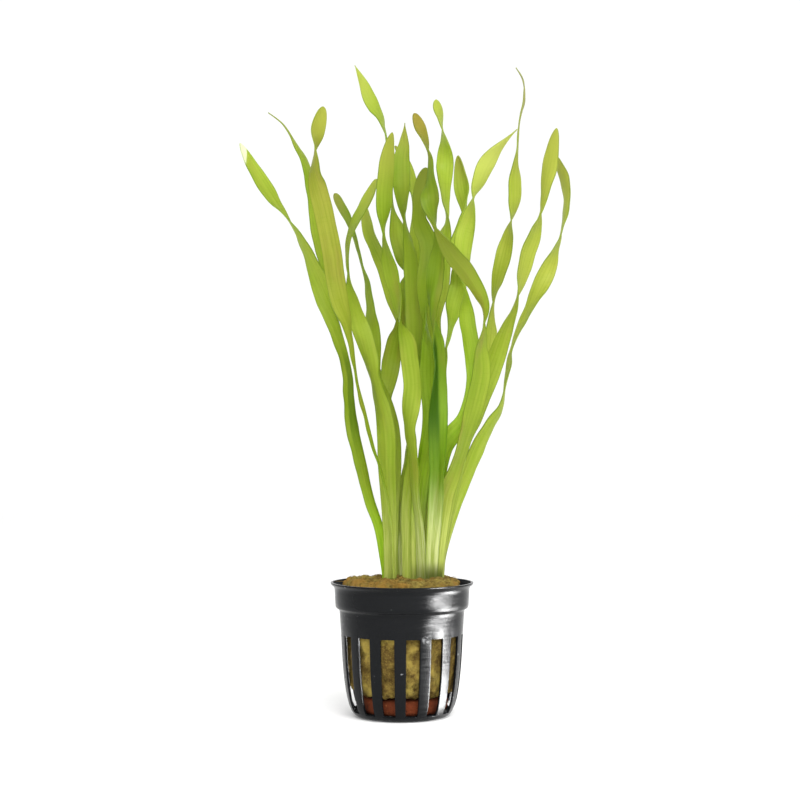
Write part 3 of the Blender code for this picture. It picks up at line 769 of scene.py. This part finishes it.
LEAVES["leaf_03"] = (7.0, 40, 0.9, ("pale", "lime", "fresh", "gold", 3.0), [
    (-3.8, FOOT, -4.2, 0), (-4.3, 60, -4.7, 0), (-5.6, 78, -6.0, 5), (-6.2, 95, -8, 10),
    (-6.6, 110, -10, 15), (-8.1, 122, -12, 35), (-11.2, 132, -13.5, 50), (-14.7, 141, -15, 62),
    (-19.7, 151, -17, 75), (-24.0, 160.6, -18.5, 66), (-28.6, 169, -20, 55), (-32.6, 182, -22, 42),
    (-34.1, 192, -23.5, 40), (-35.4, 202, -25.4, 46), (-38.3, 213, -27, 62), (-43.0, 222, -28.4, 76),
    (-47.2, 228.7, -29.2, 82), (-53.0, 233.4, -30, 84),
])
LEAVES["leaf_04"] = (7.0, 12, 0.5, ("pale", "lime", "lime", "green", 2.0), [
    (-5.6, FOOT, 2.2, 0), (-5.4, 60, 2.5, 0), (-5.8, 80, 3.4, 0), (-6.6, 95, 5, 0), (-6.8, 106, 6, -5),
    (-7.6, 115, 7, -25), (-9.4, 123, 7.6, -48), (-11.2, 130, 8.2, -55), (-13.0, 138, 9, -36),
    (-15.6, 146, 9.8, -8), (-17.6, 151, 10.3, 18), (-19.4, 157, 11, 44), (-21.2, 165, 12, 72),
    (-21.9, 171, 12.5, 90), (-22.2, 179, 13.4, 104), (-21.0, 186, 14.2, 108), (-18.4, 192, 14.8, 124),
    (-14.1, 200, 15.5, 127), (-10.8, 207.4, 16, 122),
])
LEAVES["leaf_05"] = (6.6, 4, 0.5, ("pale", "lime", "fresh", "gold", 1.2), [
    (-4.9, FOOT, -0.5, 0), (-4.8, 60, -0.4, 0), (-4.6, 80, 0.1, 0), (-4.2, 95, 0.6, 0), (-4.8, 108, 1, 5),
    (-7.2, 120, 1, 38), (-10.4, 128, 1, 54), (-11.8, 135, 1, 40), (-12.2, 143, 0.8, 8),
    (-12.6, 152, 0.5, -45), (-13.4, 160, 0.2, -65), (-14.4, 167, 0, -76), (-16.5, 175, -0.6, -86),
    (-19.0, 184, -1.0, -80), (-21.6, 191.4, -1.5, -68), (-27.1, 201.6, -2, -64),
])
LEAVES["leaf_06"] = (7.2, 11, 0.5, ("pale", "lime", "lime", "green", 2.0), [
    (-5.0, FOOT, -1.8, 0), (-4.7, 60, -1.9, 0), (-4.6, 80, -2.4, -5), (-5.4, 97, -3.2, -22),
    (-6.2, 110, -4, -50), (-6.4, 119, -4.8, -65), (-6.2, 125, -5.4, -54), (-5.4, 132, -6.2, -16),
    (-4.6, 139, -7, 26), (-3.7, 144.5, -7.6, 43), (-2.6, 149.5, -8, 76), (-3.3, 157, -8.8, 122),
    (-5.2, 164.5, -9.5, 145), (-7.7, 173, -11, 142), (-11.6, 181, -12, 128), (-14.2, 188, -13, 125),
    (-15.6, 197, -14.5, 125),
])
LEAVES["leaf_07"] = (7.0, 18, 0.6, ("white", "lime", "fresh", "gold", 3.0), [
    (6.6, FOOT, 3.5, -18), (6.8, 58, 4.1, -33), (6.0, 72, 5.6, -55), (4.5, 84, 7.2, -64), (3.9, 96, 9, -62),
    (2.8, 105, 10.4, -61), (2.2, 111, 11.2, -55), (2.7, 118, 12.2, -18), (3.2, 127, 13.6, 18),
    (2.2, 136, 15, 18), (1.2, 143.5, 16.2, 24), (-1.6, 151, 17.5, 84), (-3.1, 161, 19, 122),
    (-5.0, 170, 20.4, 138), (-7.2, 180, 21.8, 112), (-8.2, 188, 23, 80), (-7.9, 197, 25, 40),
    (-7.3, 207, 26.6, 32), (-6.2, 218, 28.6, 38), (-4.6, 225.6, 30, 45),
])
LEAVES["leaf_08"] = (7.4, 26, 1.1, ("white", "bright", "lime", "green", 2.5), [
    (0.3, FOOT, -1.9, 0), (0.3, 62, -2.3, 0), (0.4, 79, -3.0, -15), (1.6, 92, -3.6, -42),
    (2.6, 103, -4.6, -65), (2.6, 114, -5.6, -68), (3.0, 124, -6.6, -52), (2.4, 138, -8.2, -45),
    (2.2, 153, -10.2, -12), (1.6, 163.5, -11.9, -6), (2.5, 171.2, -13, -56), (0.2, 177, -13.8, -10),
    (-2.0, 184, -14.8, 16), (-3.2, 191, -15.8, 56), (-4.8, 198, -16.6, 92), (-6.2, 211, -18, 126),
    (-7.0, 222.5, -19, 92), (-9.1, 230.3, -19.8, 70), (-11.5, 235, -20.5, 46), (-13.6, 239.2, -20.9, 22),
    (-15.7, 244.6, -21.4, 14), (-19.2, 251.9, -22, 14),
])
LEAVES["leaf_09"] = (7.0, 20, 1.3, ("pale", "lime", "fresh", "gold", 2.0), [
    (1.5, FOOT, 0.0, 0), (1.5, 62, 0.3, 0), (1.7, 79, 1.0, 12), (2.4, 91, 2.0, 40), (3.0, 103, 3.0, 62),
    (2.9, 113, 3.2, 66), (3.4, 124, 2.8, 48), (3.6, 138, 1, 32), (3.8, 150, -1, 24), (3.5, 162, -2.4, 24),
    (2.6, 175, -4.4, 36), (1.2, 185, -5.8, 68), (0.0, 192, -7, 92), (-0.6, 199, -7.6, 130),
    (-1.0, 206, -8.2, 166), (-1.0, 215, -9, 178), (-0.1, 221, -9.4, 168), (0.3, 229.3, -10, 160),
])
LEAVES["leaf_10"] = (6.8, 12, 0.6, ("pale", "vivid", "lime", "gold", 1.5), [
    (2.8, FOOT, -3.9, 0), (2.8, 60, -4.2, 0), (3.4, 77, -5.2, 5), (6.2, 91, -7.2, 20), (9.4, 104, -9.6, 46),
    (10.8, 116, -12, 38), (10.2, 128, -14, 24), (6.8, 140, -16.4, 20), (6.0, 150, -18, 8),
    (6.6, 160, -19.4, -8), (5.9, 174, -21.6, -20), (5.1, 187, -24, -32), (4.4, 192.5, -25, -64),
    (3.8, 198, -26.2, -88), (2.9, 206, -28.2, -130), (0.6, 214, -29.8, -128), (-3.4, 220.4, -31, -124),
])
LEAVES["leaf_11"] = (7.0, 11, 0.5, ("pale", "vivid", "fresh", "dull", 3.0), [
    (5.1, FOOT, 1.7, 0), (5.1, 60, 1.8, 0), (5.4, 74, 2.2, -4), (6.4, 86, 3.1, -18), (8.3, 98, 4.2, -30),
    (10.2, 108, 5, -10), (10.7, 117, 5.4, 2), (9.4, 128, 5.6, 14), (9.1, 138, 5.9, 36), (8.5, 149, 6.1, 80),
    (7.5, 157, 6.3, 112), (8.2, 168, 6.6, 156), (9.6, 177, 6.9, 172), (9.2, 183, 7, 168),
    (7.3, 187.5, 7.2, 154), (5.9, 192, 7.3, 138), (6.4, 198, 7.6, 146), (7.4, 205, 8, 170),
    (8.6, 211.8, 8.4, 180),
])
LEAVES["leaf_12"] = (7.2, 14, 0.5, ("white", "leafy", "deep", "brown", 2.4), [
    (10.6, FOOT, 5.7, 0), (10.9, 62, 6.4, 0), (12.0, 79, 8, -15), (12.6, 93, 10, -38),
    (13.0, 105, 11.8, -18), (13.3, 115, 12.4, 4), (13.8, 124, 12.8, 36), (14.1, 134, 13.1, 52),
    (13.3, 145, 13.5, 58), (12.1, 153, 13.8, 92), (11.7, 160, 14, 126), (12.3, 172, 14.3, 154),
    (13.2, 182, 14.5, 114), (11.9, 189, 14.8, 86), (10.0, 197, 15.1, 26), (10.4, 205, 15.4, -54),
    (10.2, 215.5, 16, -84), (8.9, 220.5, 16.3, -104), (7.6, 224.4, 16.5, -119), (6.1, 228.3, 16.8, -142),
    (4.1, 233.2, 17, -150),
])
LEAVES["leaf_13"] = (7.0, 9, 0.5, ("pale", "bright", "bright", "green", 2.0), [
    (8.2, FOOT, -1.4, 0), (8.5, 60, -1.6, 0), (9.6, 76, -2.2, 8), (10.3, 93, -3.2, 26),
    (10.8, 108, -4.8, 30), (10.8, 122, -6.5, 30), (11.3, 137, -9, 22), (11.4, 150, -11, -35),
    (12.3, 157.5, -12, -30), (14.1, 164, -13, -16), (14.8, 173, -14.6, -18), (15.7, 184, -16.4, -42),
    (16.9, 192, -17.8, -90), (16.1, 200, -19, -120), (15.9, 209, -20.6, -152), (15.9, 216, -21.8, -208),
    (15.2, 222, -22.6, -248), (14.7, 226.4, -23.4, -270), (14.0, 230, -24.2, -287),
    (13.3, 234.4, -25.2, -310), (12.6, 238.4, -26, -318),
])
LEAVES["leaf_14"] = (7.0, 15, 0.6, ("pale", "vivid", "bright", "gold", 1.5), [
    (10.2, FOOT, 1.5, 0), (10.9, 62, 1.8, 0), (12.0, 78, 2.3, -8), (12.6, 92, 2.7, -28),
    (13.5, 108, 3, -44), (14.4, 122, 2.6, -56), (15.5, 133, 1.8, -76), (16.6, 141.5, 1, -92),
    (18.2, 150, 0.2, -110), (19.6, 158.5, -0.4, -165), (20.8, 166, -1, -206), (19.2, 172.8, -1.6, -268),
    (20.0, 182, -2.5, -305), (22.0, 190, -3.2, -286), (22.9, 197, -3.8, -256), (22.3, 204, -4.5, -216),
    (21.4, 211, -5.3, -224), (20.9, 216.5, -6, -228),
])
LEAVES["leaf_15"] = (7.0, 20, 1.5, ("vivid", "vivid", "bright", "lemon", 5.0), [
    (11.6, FOOT, 2.9, 0), (11.9, 62, 3.1, 0), (12.3, 80, 4.4, 4), (13.0, 92, 5.7, 10), (15.2, 102, 7, 14),
    (18.4, 107.5, 8, 10), (23.4, 113, 9.2, 4), (26.6, 121, 10.4, 2), (27.8, 130, 11.3, 0),
    (27.0, 138, 12, -22), (25.6, 146, 13.2, -40), (24.4, 154, 14.8, -36), (24.2, 162, 16.2, -82),
    (22.9, 172, 17.4, -128), (23.2, 183, 19, -178), (25.2, 192, 20.2, -226), (26.7, 199.7, 21, -270),
    (29.0, 206.4, 22, -310), (32.4, 213.8, 23.2, -334), (37.2, 220, 24.6, -306), (44.1, 226.8, 26, -296),
])
LEAVES["leaf_16"] = (7.4, 16, 2.8, ("pale", "lime", "lime", "dull", 4.5), [
    (12.0, FOOT, 4.4, 0), (13.2, 62, 4.7, 0), (15.8, 83, 6.4, 8), (18.6, 91, 7.6, 34), (21.2, 98, 8.8, 50),
    (23.1, 104, 10.2, 50), (25.4, 112, 12, 34), (27.6, 120, 14, 14), (30.0, 131, 17.2, 20),
    (30.0, 141, 20, 50), (31.2, 150.5, 22.6, 88), (31.3, 158, 24.8, 108), (28.1, 165, 27.2, 129),
    (23.6, 171.8, 29.6, 142), (19.0, 177.4, 31.6, 138), (14.6, 184, 33.8, 128), (8.9, 192.7, 36, 122),
])
LEAVES["leaf_17"] = (6.8, 70, 0.9, ("pale", "bright", "yellow", "dry", 4.6), [
    (13.2, FOOT, -1.6, 0), (13.9, 62, -1.8, 0), (15.8, 74, -2, 4), (18.8, 87, -2.2, 28),
    (21.2, 96, -2.4, 46), (22.9, 103, -2.6, 50), (25.0, 109.5, -2.9, 34), (27.8, 116.5, -3.2, 8),
    (32.0, 128.5, -3.8, 2), (33.4, 141, -4.4, 26), (34.0, 151.5, -5, 60), (34.6, 159.4, -5.5, 90),
    (36.3, 168, -6.1, 126), (38.5, 177, -6.7, 154), (40.0, 184, -7.2, 126), (41.4, 191.2, -7.5, 90),
    (42.9, 199, -8, 40), (43.2, 206, -8.3, 36), (43.4, 211, -8.5, 56), (43.9, 216.7, -8.8, 77),
    (44.3, 223, -9, 88), (44.9, 230, -9.3, 84), (46.9, 239, -9.6, 78), (46.4, 246.1, -9.9, 90),
    (43.7, 251, -10, 102),
])
LEAVES["leaf_18"] = (7.4, 18, 0.6, ("pale", "bright", "yellow", "yellow", 3.5), [
    (12.9, FOOT, -0.2, 0), (13.6, 60, 0.0, 0), (16.2, 79, 0.4, 14), (19.6, 92, 0.8, 44),
    (22.6, 103, 1.3, 52), (24.4, 109, 1.7, 36), (27.2, 117, 2.2, 8), (31.3, 126, 3, -2),
    (35.4, 136.5, 4, -18), (39.2, 147, 5, -50), (42.1, 154, 5.5, -68), (44.2, 160.5, 6, -90),
    (46.1, 169, 7, -124), (48.4, 178.5, 8, -143), (51.2, 186, 8.8, -126), (53.7, 195, 9.8, -90),
    (54.9, 202, 10.7, -68), (56.9, 212.5, 12, -44), (58.2, 220.6, 13.2, -42), (59.6, 227.2, 14, -42),
])
LEAVES["leaf_19"] = (7.0, 16, 0.6, ("pale", "bright", "yellow", "gold", 3.0), [
    (13.0, FOOT, -3.2, 0), (13.8, 60, -3.5, 0), (16.6, 72, -4.4, 8), (20.2, 83, -6, 22),
    (24.4, 93, -7.8, 36), (28.4, 102.5, -9.4, 38), (32.8, 111, -11, 52), (37.5, 118.5, -12.4, 73),
    (38.8, 126, -13.6, 88), (40.5, 134, -15, 102), (41.4, 140.5, -16.3, 92), (44.5, 148.5, -18, 105),
    (48.6, 157, -19.8, 118), (52.4, 164.5, -21.4, 150), (56.9, 173.5, -23.6, 213), (60.2, 182, -25.6, 256),
    (61.9, 188.5, -27, 272), (63.4, 198, -29.4, 285), (62.6, 207, -31.6, 294), (58.6, 217, -34, 298),
])
print("leaves:", len(LEAVES), "stations:", sum(len(row[-1]) for row in LEAVES.values()))

# %% [markdown]
# A smooth curve runs through the stations, and a leaf's place is read off it at even steps.
# A station nearer the eye is drawn in towards the sight line, so it keeps the place that the
# photograph gives it whatever its depth.

# %% Spine of a leaf
STEPS_A_SPAN = 16


def between(before, start, end, after, share):
    """A point on the smooth curve through four values, share of the way from start to end."""
    return 0.5 * (
        2 * start
        + (end - before) * share
        + (2 * before - 5 * start + 4 * end - after) * share**2
        + (3 * start - before - 3 * end + after) * share**3
    )


def in_space(across, height, toward):
    """A station's place in metres, from its place in the front view."""
    share = 1 - toward / EYE_DISTANCE
    right = across * share + PLANT_ACROSS
    return Vector((right, -toward, EYE_HEIGHT + (height - EYE_HEIGHT) * share)) * MM


def spine_of(stations):
    """Close points along the leaf: (distance from the foot in millimetres, place, turn)."""
    padded = [stations[0], *stations, stations[-1]]
    spine = []
    for number in range(len(stations) - 1):
        four = padded[number:number + 4]
        for step in range(STEPS_A_SPAN + (number == len(stations) - 2)):
            share = step / STEPS_A_SPAN
            across, height, toward, turn = [between(*values, share) for values in zip(*four)]
            place = in_space(across, height, toward)
            gone = spine[-1][0] + (place - spine[-1][1]).length / MM if spine else 0.0
            spine.append((gone, place, math.radians(turn)))
    return spine


def at_distance(spine, distance):
    """Place, direction and turn of the spine at this distance from the foot."""
    after = next((n for n, row in enumerate(spine) if row[0] >= distance and n), len(spine) - 1)
    start = spine[after - 1]
    end = spine[after]
    share = (distance - start[0]) / (end[0] - start[0])
    below = spine[max(after - 3, 0)][1]
    above = spine[min(after + 2, len(spine) - 1)][1]
    return start[1].lerp(end[1], share), (above - below).normalized(), start[2] + (end[2] - start[2]) * share


print("longest leaf:", round(max(spine_of(row[-1])[-1][0] for row in LEAVES.values()), 1), "mm")

# %% [markdown]
# The blade is narrower at the foot, widens over the first sixty millimetres and ends in a
# rounded point. It isn't flat: most blades are a shallow gutter, a few are folded along the
# middle rib, and the edges wave a little. A flat ribbon with the same outline would look like
# paper.

# %% Blade outline and cross section
BASE_SHARE = 0.6
BASE_LENGTH = 62.0
LEAST_SHARE = 0.04
GUTTER = 0.07
FOLDS = {
    # leaf: (depth of the fold as a share of the width, millimetres from the foot, to)
    "leaf_01": (0.26, 25, 105), "leaf_12": (-0.30, 10, 110), "leaf_04": (0.10, 10, 90),
    "leaf_16": (-0.12, 40, 130), "leaf_14": (0.14, 120, 165),
}
FOLD_FADE = 15
FOLD_POWER = 1.3
RIPPLE = 0.16
RIPPLE_FADES = (70, 12)
LONG_WAVE = 2.6
SHORT_WAVE = 1.45


def eased(value):
    value = max(0.0, min(1.0, value))
    return value * value * (3 - 2 * value)


def blade_share(along, length, taper, tip_power):
    """The blade's width here as a share of its full width: narrower at the foot and the tip."""
    foot_share = BASE_SHARE + (1 - BASE_SHARE) * eased(along / BASE_LENGTH)
    from_tip = max(0.0, min(1.0, (length - along) / taper))
    return foot_share * max((1 - (1 - from_tip) ** 2) ** tip_power, LEAST_SHARE)


def blade_rise(name, side, along, length, width, phase):
    """How far the blade lies off its flat ribbon, in mm; side runs from -1 to 1 across it."""
    depth, start, end = FOLDS.get(name, (0, 0, 1))
    faded_in = eased((along - start + FOLD_FADE) / FOLD_FADE)
    folded = depth * faded_in * eased((end + FOLD_FADE - along) / FOLD_FADE)
    rise = width * (GUTTER * (1 - side * side) + folded * (1 - abs(side) ** FOLD_POWER))
    free = eased(along / RIPPLE_FADES[0]) * eased((length - along) / RIPPLE_FADES[1])
    wave = math.sin(along / LONG_WAVE + phase + 1.7 * side) + 0.6 * math.sin(along / SHORT_WAVE + 2 * phase)
    return rise + RIPPLE * wave * free * abs(side) ** 3


print("blade at 100 mm of 200:", round(7.2 * blade_share(100, 200, 16, 0.6), 2), "mm wide")

# %% [markdown]
# A blade starts as a flat grid, twelve faces across and about two hundred along. Every row of
# it is then carried to its place on the spine, turned, and given its width and its gutter. The
# rows lie closer together at the tip, where the outline bends most. Solidify closes it into
# a real thin body, so the printed file has a leaf and not a sheet of no thickness.

# %% Blade from a grid
COLUMNS = 12
ROWS_A_MM = 0.95
TIP_CROWDING = 1.25
BLADE = 0.40
BLADE_SHARP = math.radians(50)
NEXT_PHASE = 1.9


def blade(name, width, taper, tip_power, stations, phase):
    spine = spine_of(stations)
    length = spine[-1][0]
    rows = int(length * ROWS_A_MM)
    bpy.ops.mesh.primitive_grid_add(x_subdivisions=COLUMNS, y_subdivisions=rows, size=2)
    obj = bpy.context.object
    obj.name = f"blade_{name[-2:]}"
    obj.data.uv_layers[0].name = "blade"
    places = {}
    for vert in obj.data.vertices:
        side = vert.co.x
        row = round((vert.co.y + 1) / 2 * rows)
        if row not in places:
            along = length * (1 - (1 - row / rows) ** TIP_CROWDING)
            place, ahead, turn = at_distance(spine, along)
            flat = ahead.cross(Vector((0, -1, 0))).normalized()
            right = flat * math.cos(turn) + ahead.cross(flat) * math.sin(turn)
            places[row] = (along, place, right, right.cross(ahead))
        along, place, right, face = places[row]
        wide = width * blade_share(along, length, taper, tip_power)
        rise = blade_rise(name, side, along, length, wide, phase)
        vert.co = place + (right * side * wide / 2 + face * rise) * MM
    for loop in obj.data.loops:
        layer = obj.data.uv_layers[0].data[loop.index]
        row = round(layer.uv.y * rows)
        layer.uv = (layer.uv.x, places[row][0] / 10)
    body = obj.modifiers.new("Body", "SOLIDIFY")
    body.thickness = BLADE * MM
    body.offset = 0
    apply_modifiers(obj)
    bpy.ops.object.shade_smooth_by_angle(angle=BLADE_SHARP)
    return obj, length


blades = {}
for number, (name, (*shape, _, stations)) in enumerate(LEAVES.items()):
    blades[name] = blade(name, *shape, stations, NEXT_PHASE * number)
    settle(blades[name][0], "leaf_green", name)

# %% [markdown]
# A leaf's colour is mostly light that has come through it. So each finish is about half an
# ordinary glossy surface and half a translucent one, and where two leaves cross they darken
# by themselves. The pattern follows the blade's own map, u across and v along in
# centimetres: soft stripes beside the parallel veins, a thin dull line at both edges, rusty
# stains, a pale foot whose whitest streaks are partly a painted sheen, and a tip that yellows
# first. Two folded blades get painted shade for a stretch, and some feet get painted shade
# where they come out of the wool.

# %% Leaf tones
TONES = {
    # tone: (green, yellower green)
    "shade": ((0.085, 0.170, 0.006), (0.145, 0.240, 0.011)),
    "deep": ((0.155, 0.250, 0.009), (0.225, 0.320, 0.016)),
    "fresh": ((0.215, 0.325, 0.014), (0.290, 0.390, 0.025)),
    "lime": ((0.275, 0.385, 0.024), (0.360, 0.450, 0.042)),
    "bright": ((0.345, 0.470, 0.035), (0.440, 0.540, 0.062)),
    "yellow": ((0.350, 0.430, 0.042), (0.450, 0.500, 0.070)),
    "olive": ((0.275, 0.310, 0.025), (0.360, 0.385, 0.045)),
    "vivid": ((0.270, 0.470, 0.014), (0.395, 0.570, 0.036)),
    "pale": ((0.370, 0.470, 0.050), (0.600, 0.660, 0.170)),
    "leafy": ((0.150, 0.300, 0.010), (0.235, 0.390, 0.022)),
    # white: a pale foot whose whitest streaks are partly a painted sheen
    "white": ((0.360, 0.460, 0.050), (0.800, 0.840, 0.400)),
}
TIPS = {
    "bleached": (0.85, 0.88, 0.60), "yellow": (0.42, 0.45, 0.065), "green": (0.42, 0.48, 0.065),
    "brown": (0.36, 0.28, 0.045), "gold": (0.36, 0.38, 0.055), "dry": (0.38, 0.36, 0.15),
    "dull": (0.21, 0.25, 0.022), "lemon": (0.54, 0.57, 0.13),
}
PAINTED_FOLD_SHADE = {
    # painted shade where a blade is folded: (across from, to, along from, to in cm, strength)
    "leaf_01": (0.13, 0.24, 6.9, 8.9, 0.50), "leaf_12": (0.64, 0.50, 6.8, 9.3, 0.92),
}
FOLD_SHADE_FADE = (2.0, 0.9)
FOLD_SHADE_COLOUR = (0.045, 0.130, 0.003)
# painted shade on these feet where they come out of the wool: leaf and strength
SHADED_FEET = {"leaf_07": 0.6, "leaf_11": 0.5, "leaf_12": 0.9, "leaf_14": 0.9, "leaf_15": 0.9, "leaf_16": 0.9}
FOOT_SHADE_COLOUR = (0.085, 0.105, 0.007)
RUSTY = {
    "leaf_02": 0.32, "leaf_06": 0.35, "leaf_07": 0.30, "leaf_08": 0.30, "leaf_12": 0.30, "leaf_16": 0.40,
}
LEAST_RUST = 0.14
RUST = (0.34, 0.26, 0.055)
print("tones:", len(TONES), "tips:", len(TIPS))

# %% Leaf finish
GLOW = 0.45
VEIN_PAIRS = 5
TO_UPPER = (6.0, 14.0)
PALE_FOOT_AND_SHEEN = (4.8, 1.7)
FOOT_SHADE_REACH = (1.3, 0.6)
EDGE_LINE = (0.445, 0.495)
BLEACHED_SLANT = 0.6
THREADS, VEINS, RUNGS, TIP, EDGE = 0.30, 0.30, 0.14, 0.85, 0.40
LEAF_RELIEF = 0.00012


def streaks(uv, number, across, along, detail):
    """Noise on the blade's own map, across and along it so many clumps a unit."""
    inputs = {"Vector": uv, "Location": (0, 0, 3.7 * number), "Scale": (across, along, 1)}
    return speckle(put(uv, "Mapping", inputs).outputs[0], 1.0, detail)


def leaf_finish(name, length, number):
    foot, low, high, tip, tip_length = LEAVES[name][TONES_AT]
    made, shader, place = new_material(f"{name}_green")
    uv = put(place, "UVMap", uv_map="blade").outputs[0]
    axes = put(place, "SeparateXYZ", {"Vector": uv})
    across, along = axes.outputs["X"], axes.outputs["Y"]
    stripes = streaks(uv, number, 9, 0.35, 3)
    threads = streaks(uv, number, 38, 1.2, 2)
    patch = streaks(uv, number, 0.8, 0.45, 2)
    stain = streaks(uv, number + 0.5, 1.5, 0.5, 4)
    rungs = streaks(uv, number, 1.6, 26, 1)
    ribs = calculate("COSINE", times(across, VEIN_PAIRS * math.tau))
    veins = times(span(ribs, 0.80, 1.0), span(threads, 0.30, 0.60))
    from_middle = calculate("ABSOLUTE", calculate("SUBTRACT", across, 0.5))

    mixed = plus(times(stripes, 0.6), times(patch, 0.5))
    mixed = span(mixed, 0.36, 0.72)
    lower = blend(mixed, *TONES[low])
    upper = blend(mixed, *TONES[high])
    colour = blend(span(along, *TO_UPPER), lower, upper)
    colour = tinted(colour, span(threads, 0.5, 0.7), THREADS, TONES[high][1])
    colour = tinted(colour, veins, VEINS, TONES["deep"][0])
    colour = tinted(colour, span(rungs, 0.55, 0.75), RUNGS, TONES["deep"][0])
    colour = tinted(colour, span(stain, 0.48, 0.72), RUSTY.get(name, LEAST_RUST), RUST)

    slant = BLEACHED_SLANT if tip == "bleached" else 0.0
    reach = plus(times(across, slant), tip_length)
    from_tip = calculate("DIVIDE", plus(times(along, -1), length / 10), reach)
    at_tip = span(from_tip, 1.0, 0.8 if slant else 0.05)
    colour = tinted(colour, at_tip, TIP, TIPS[tip])
    # real pale foot, whose whitest streaks are partly a painted sheen
    pale_foot_and_sheen = blend(span(plus(stripes, threads), 0.75, 1.25), *TONES[foot])
    colour = blend(span(along, *PALE_FOOT_AND_SHEEN), colour, pale_foot_and_sheen)
    # painted shade on the folded stretch of the blade
    if name in PAINTED_FOLD_SHADE:
        start, end, bottom, top, strength = PAINTED_FOLD_SHADE[name]
        fade_in = span(along, bottom - FOLD_SHADE_FADE[0], bottom)
        ends = times(fade_in, span(along, top + FOLD_SHADE_FADE[1], top))
        band = times(span(across, start, end), ends)
        colour = tinted(colour, band, strength, FOLD_SHADE_COLOUR)
    # painted shade where the foot comes out of the wool
    if name in SHADED_FEET:
        colour = tinted(colour, span(along, *FOOT_SHADE_REACH), SHADED_FEET[name], FOOT_SHADE_COLOUR)
    colour = tinted(colour, span(from_middle, *EDGE_LINE), EDGE, TONES["shade"][0])

    rough = plus(times(span(patch, 0.2, 0.8), 0.16), 0.34)
    dress(shader, Base_Color=colour, Roughness=rough, Specular_IOR_Level=0.22)
    relief = plus(times(veins, 0.5), times(threads, 0.35))
    bumped(shader, relief, LEAF_RELIEF)
    through = put(place, "Gamma", {"Color": colour, "Gamma": 0.60}).outputs[0]
    glow = put(place, "BsdfTranslucent", {"Color": through})
    both = put(place, "MixShader", {0: GLOW, 1: shader.outputs[0], 2: glow.outputs[0]})
    connect(made.node_tree.nodes["Material Output"].inputs["Surface"], both.outputs[0])
    return made


for number, (name, (obj, length)) in enumerate(blades.items()):
    obj.data.materials.append(leaf_finish(name, length, number))
print("leaf finishes:", len(blades))
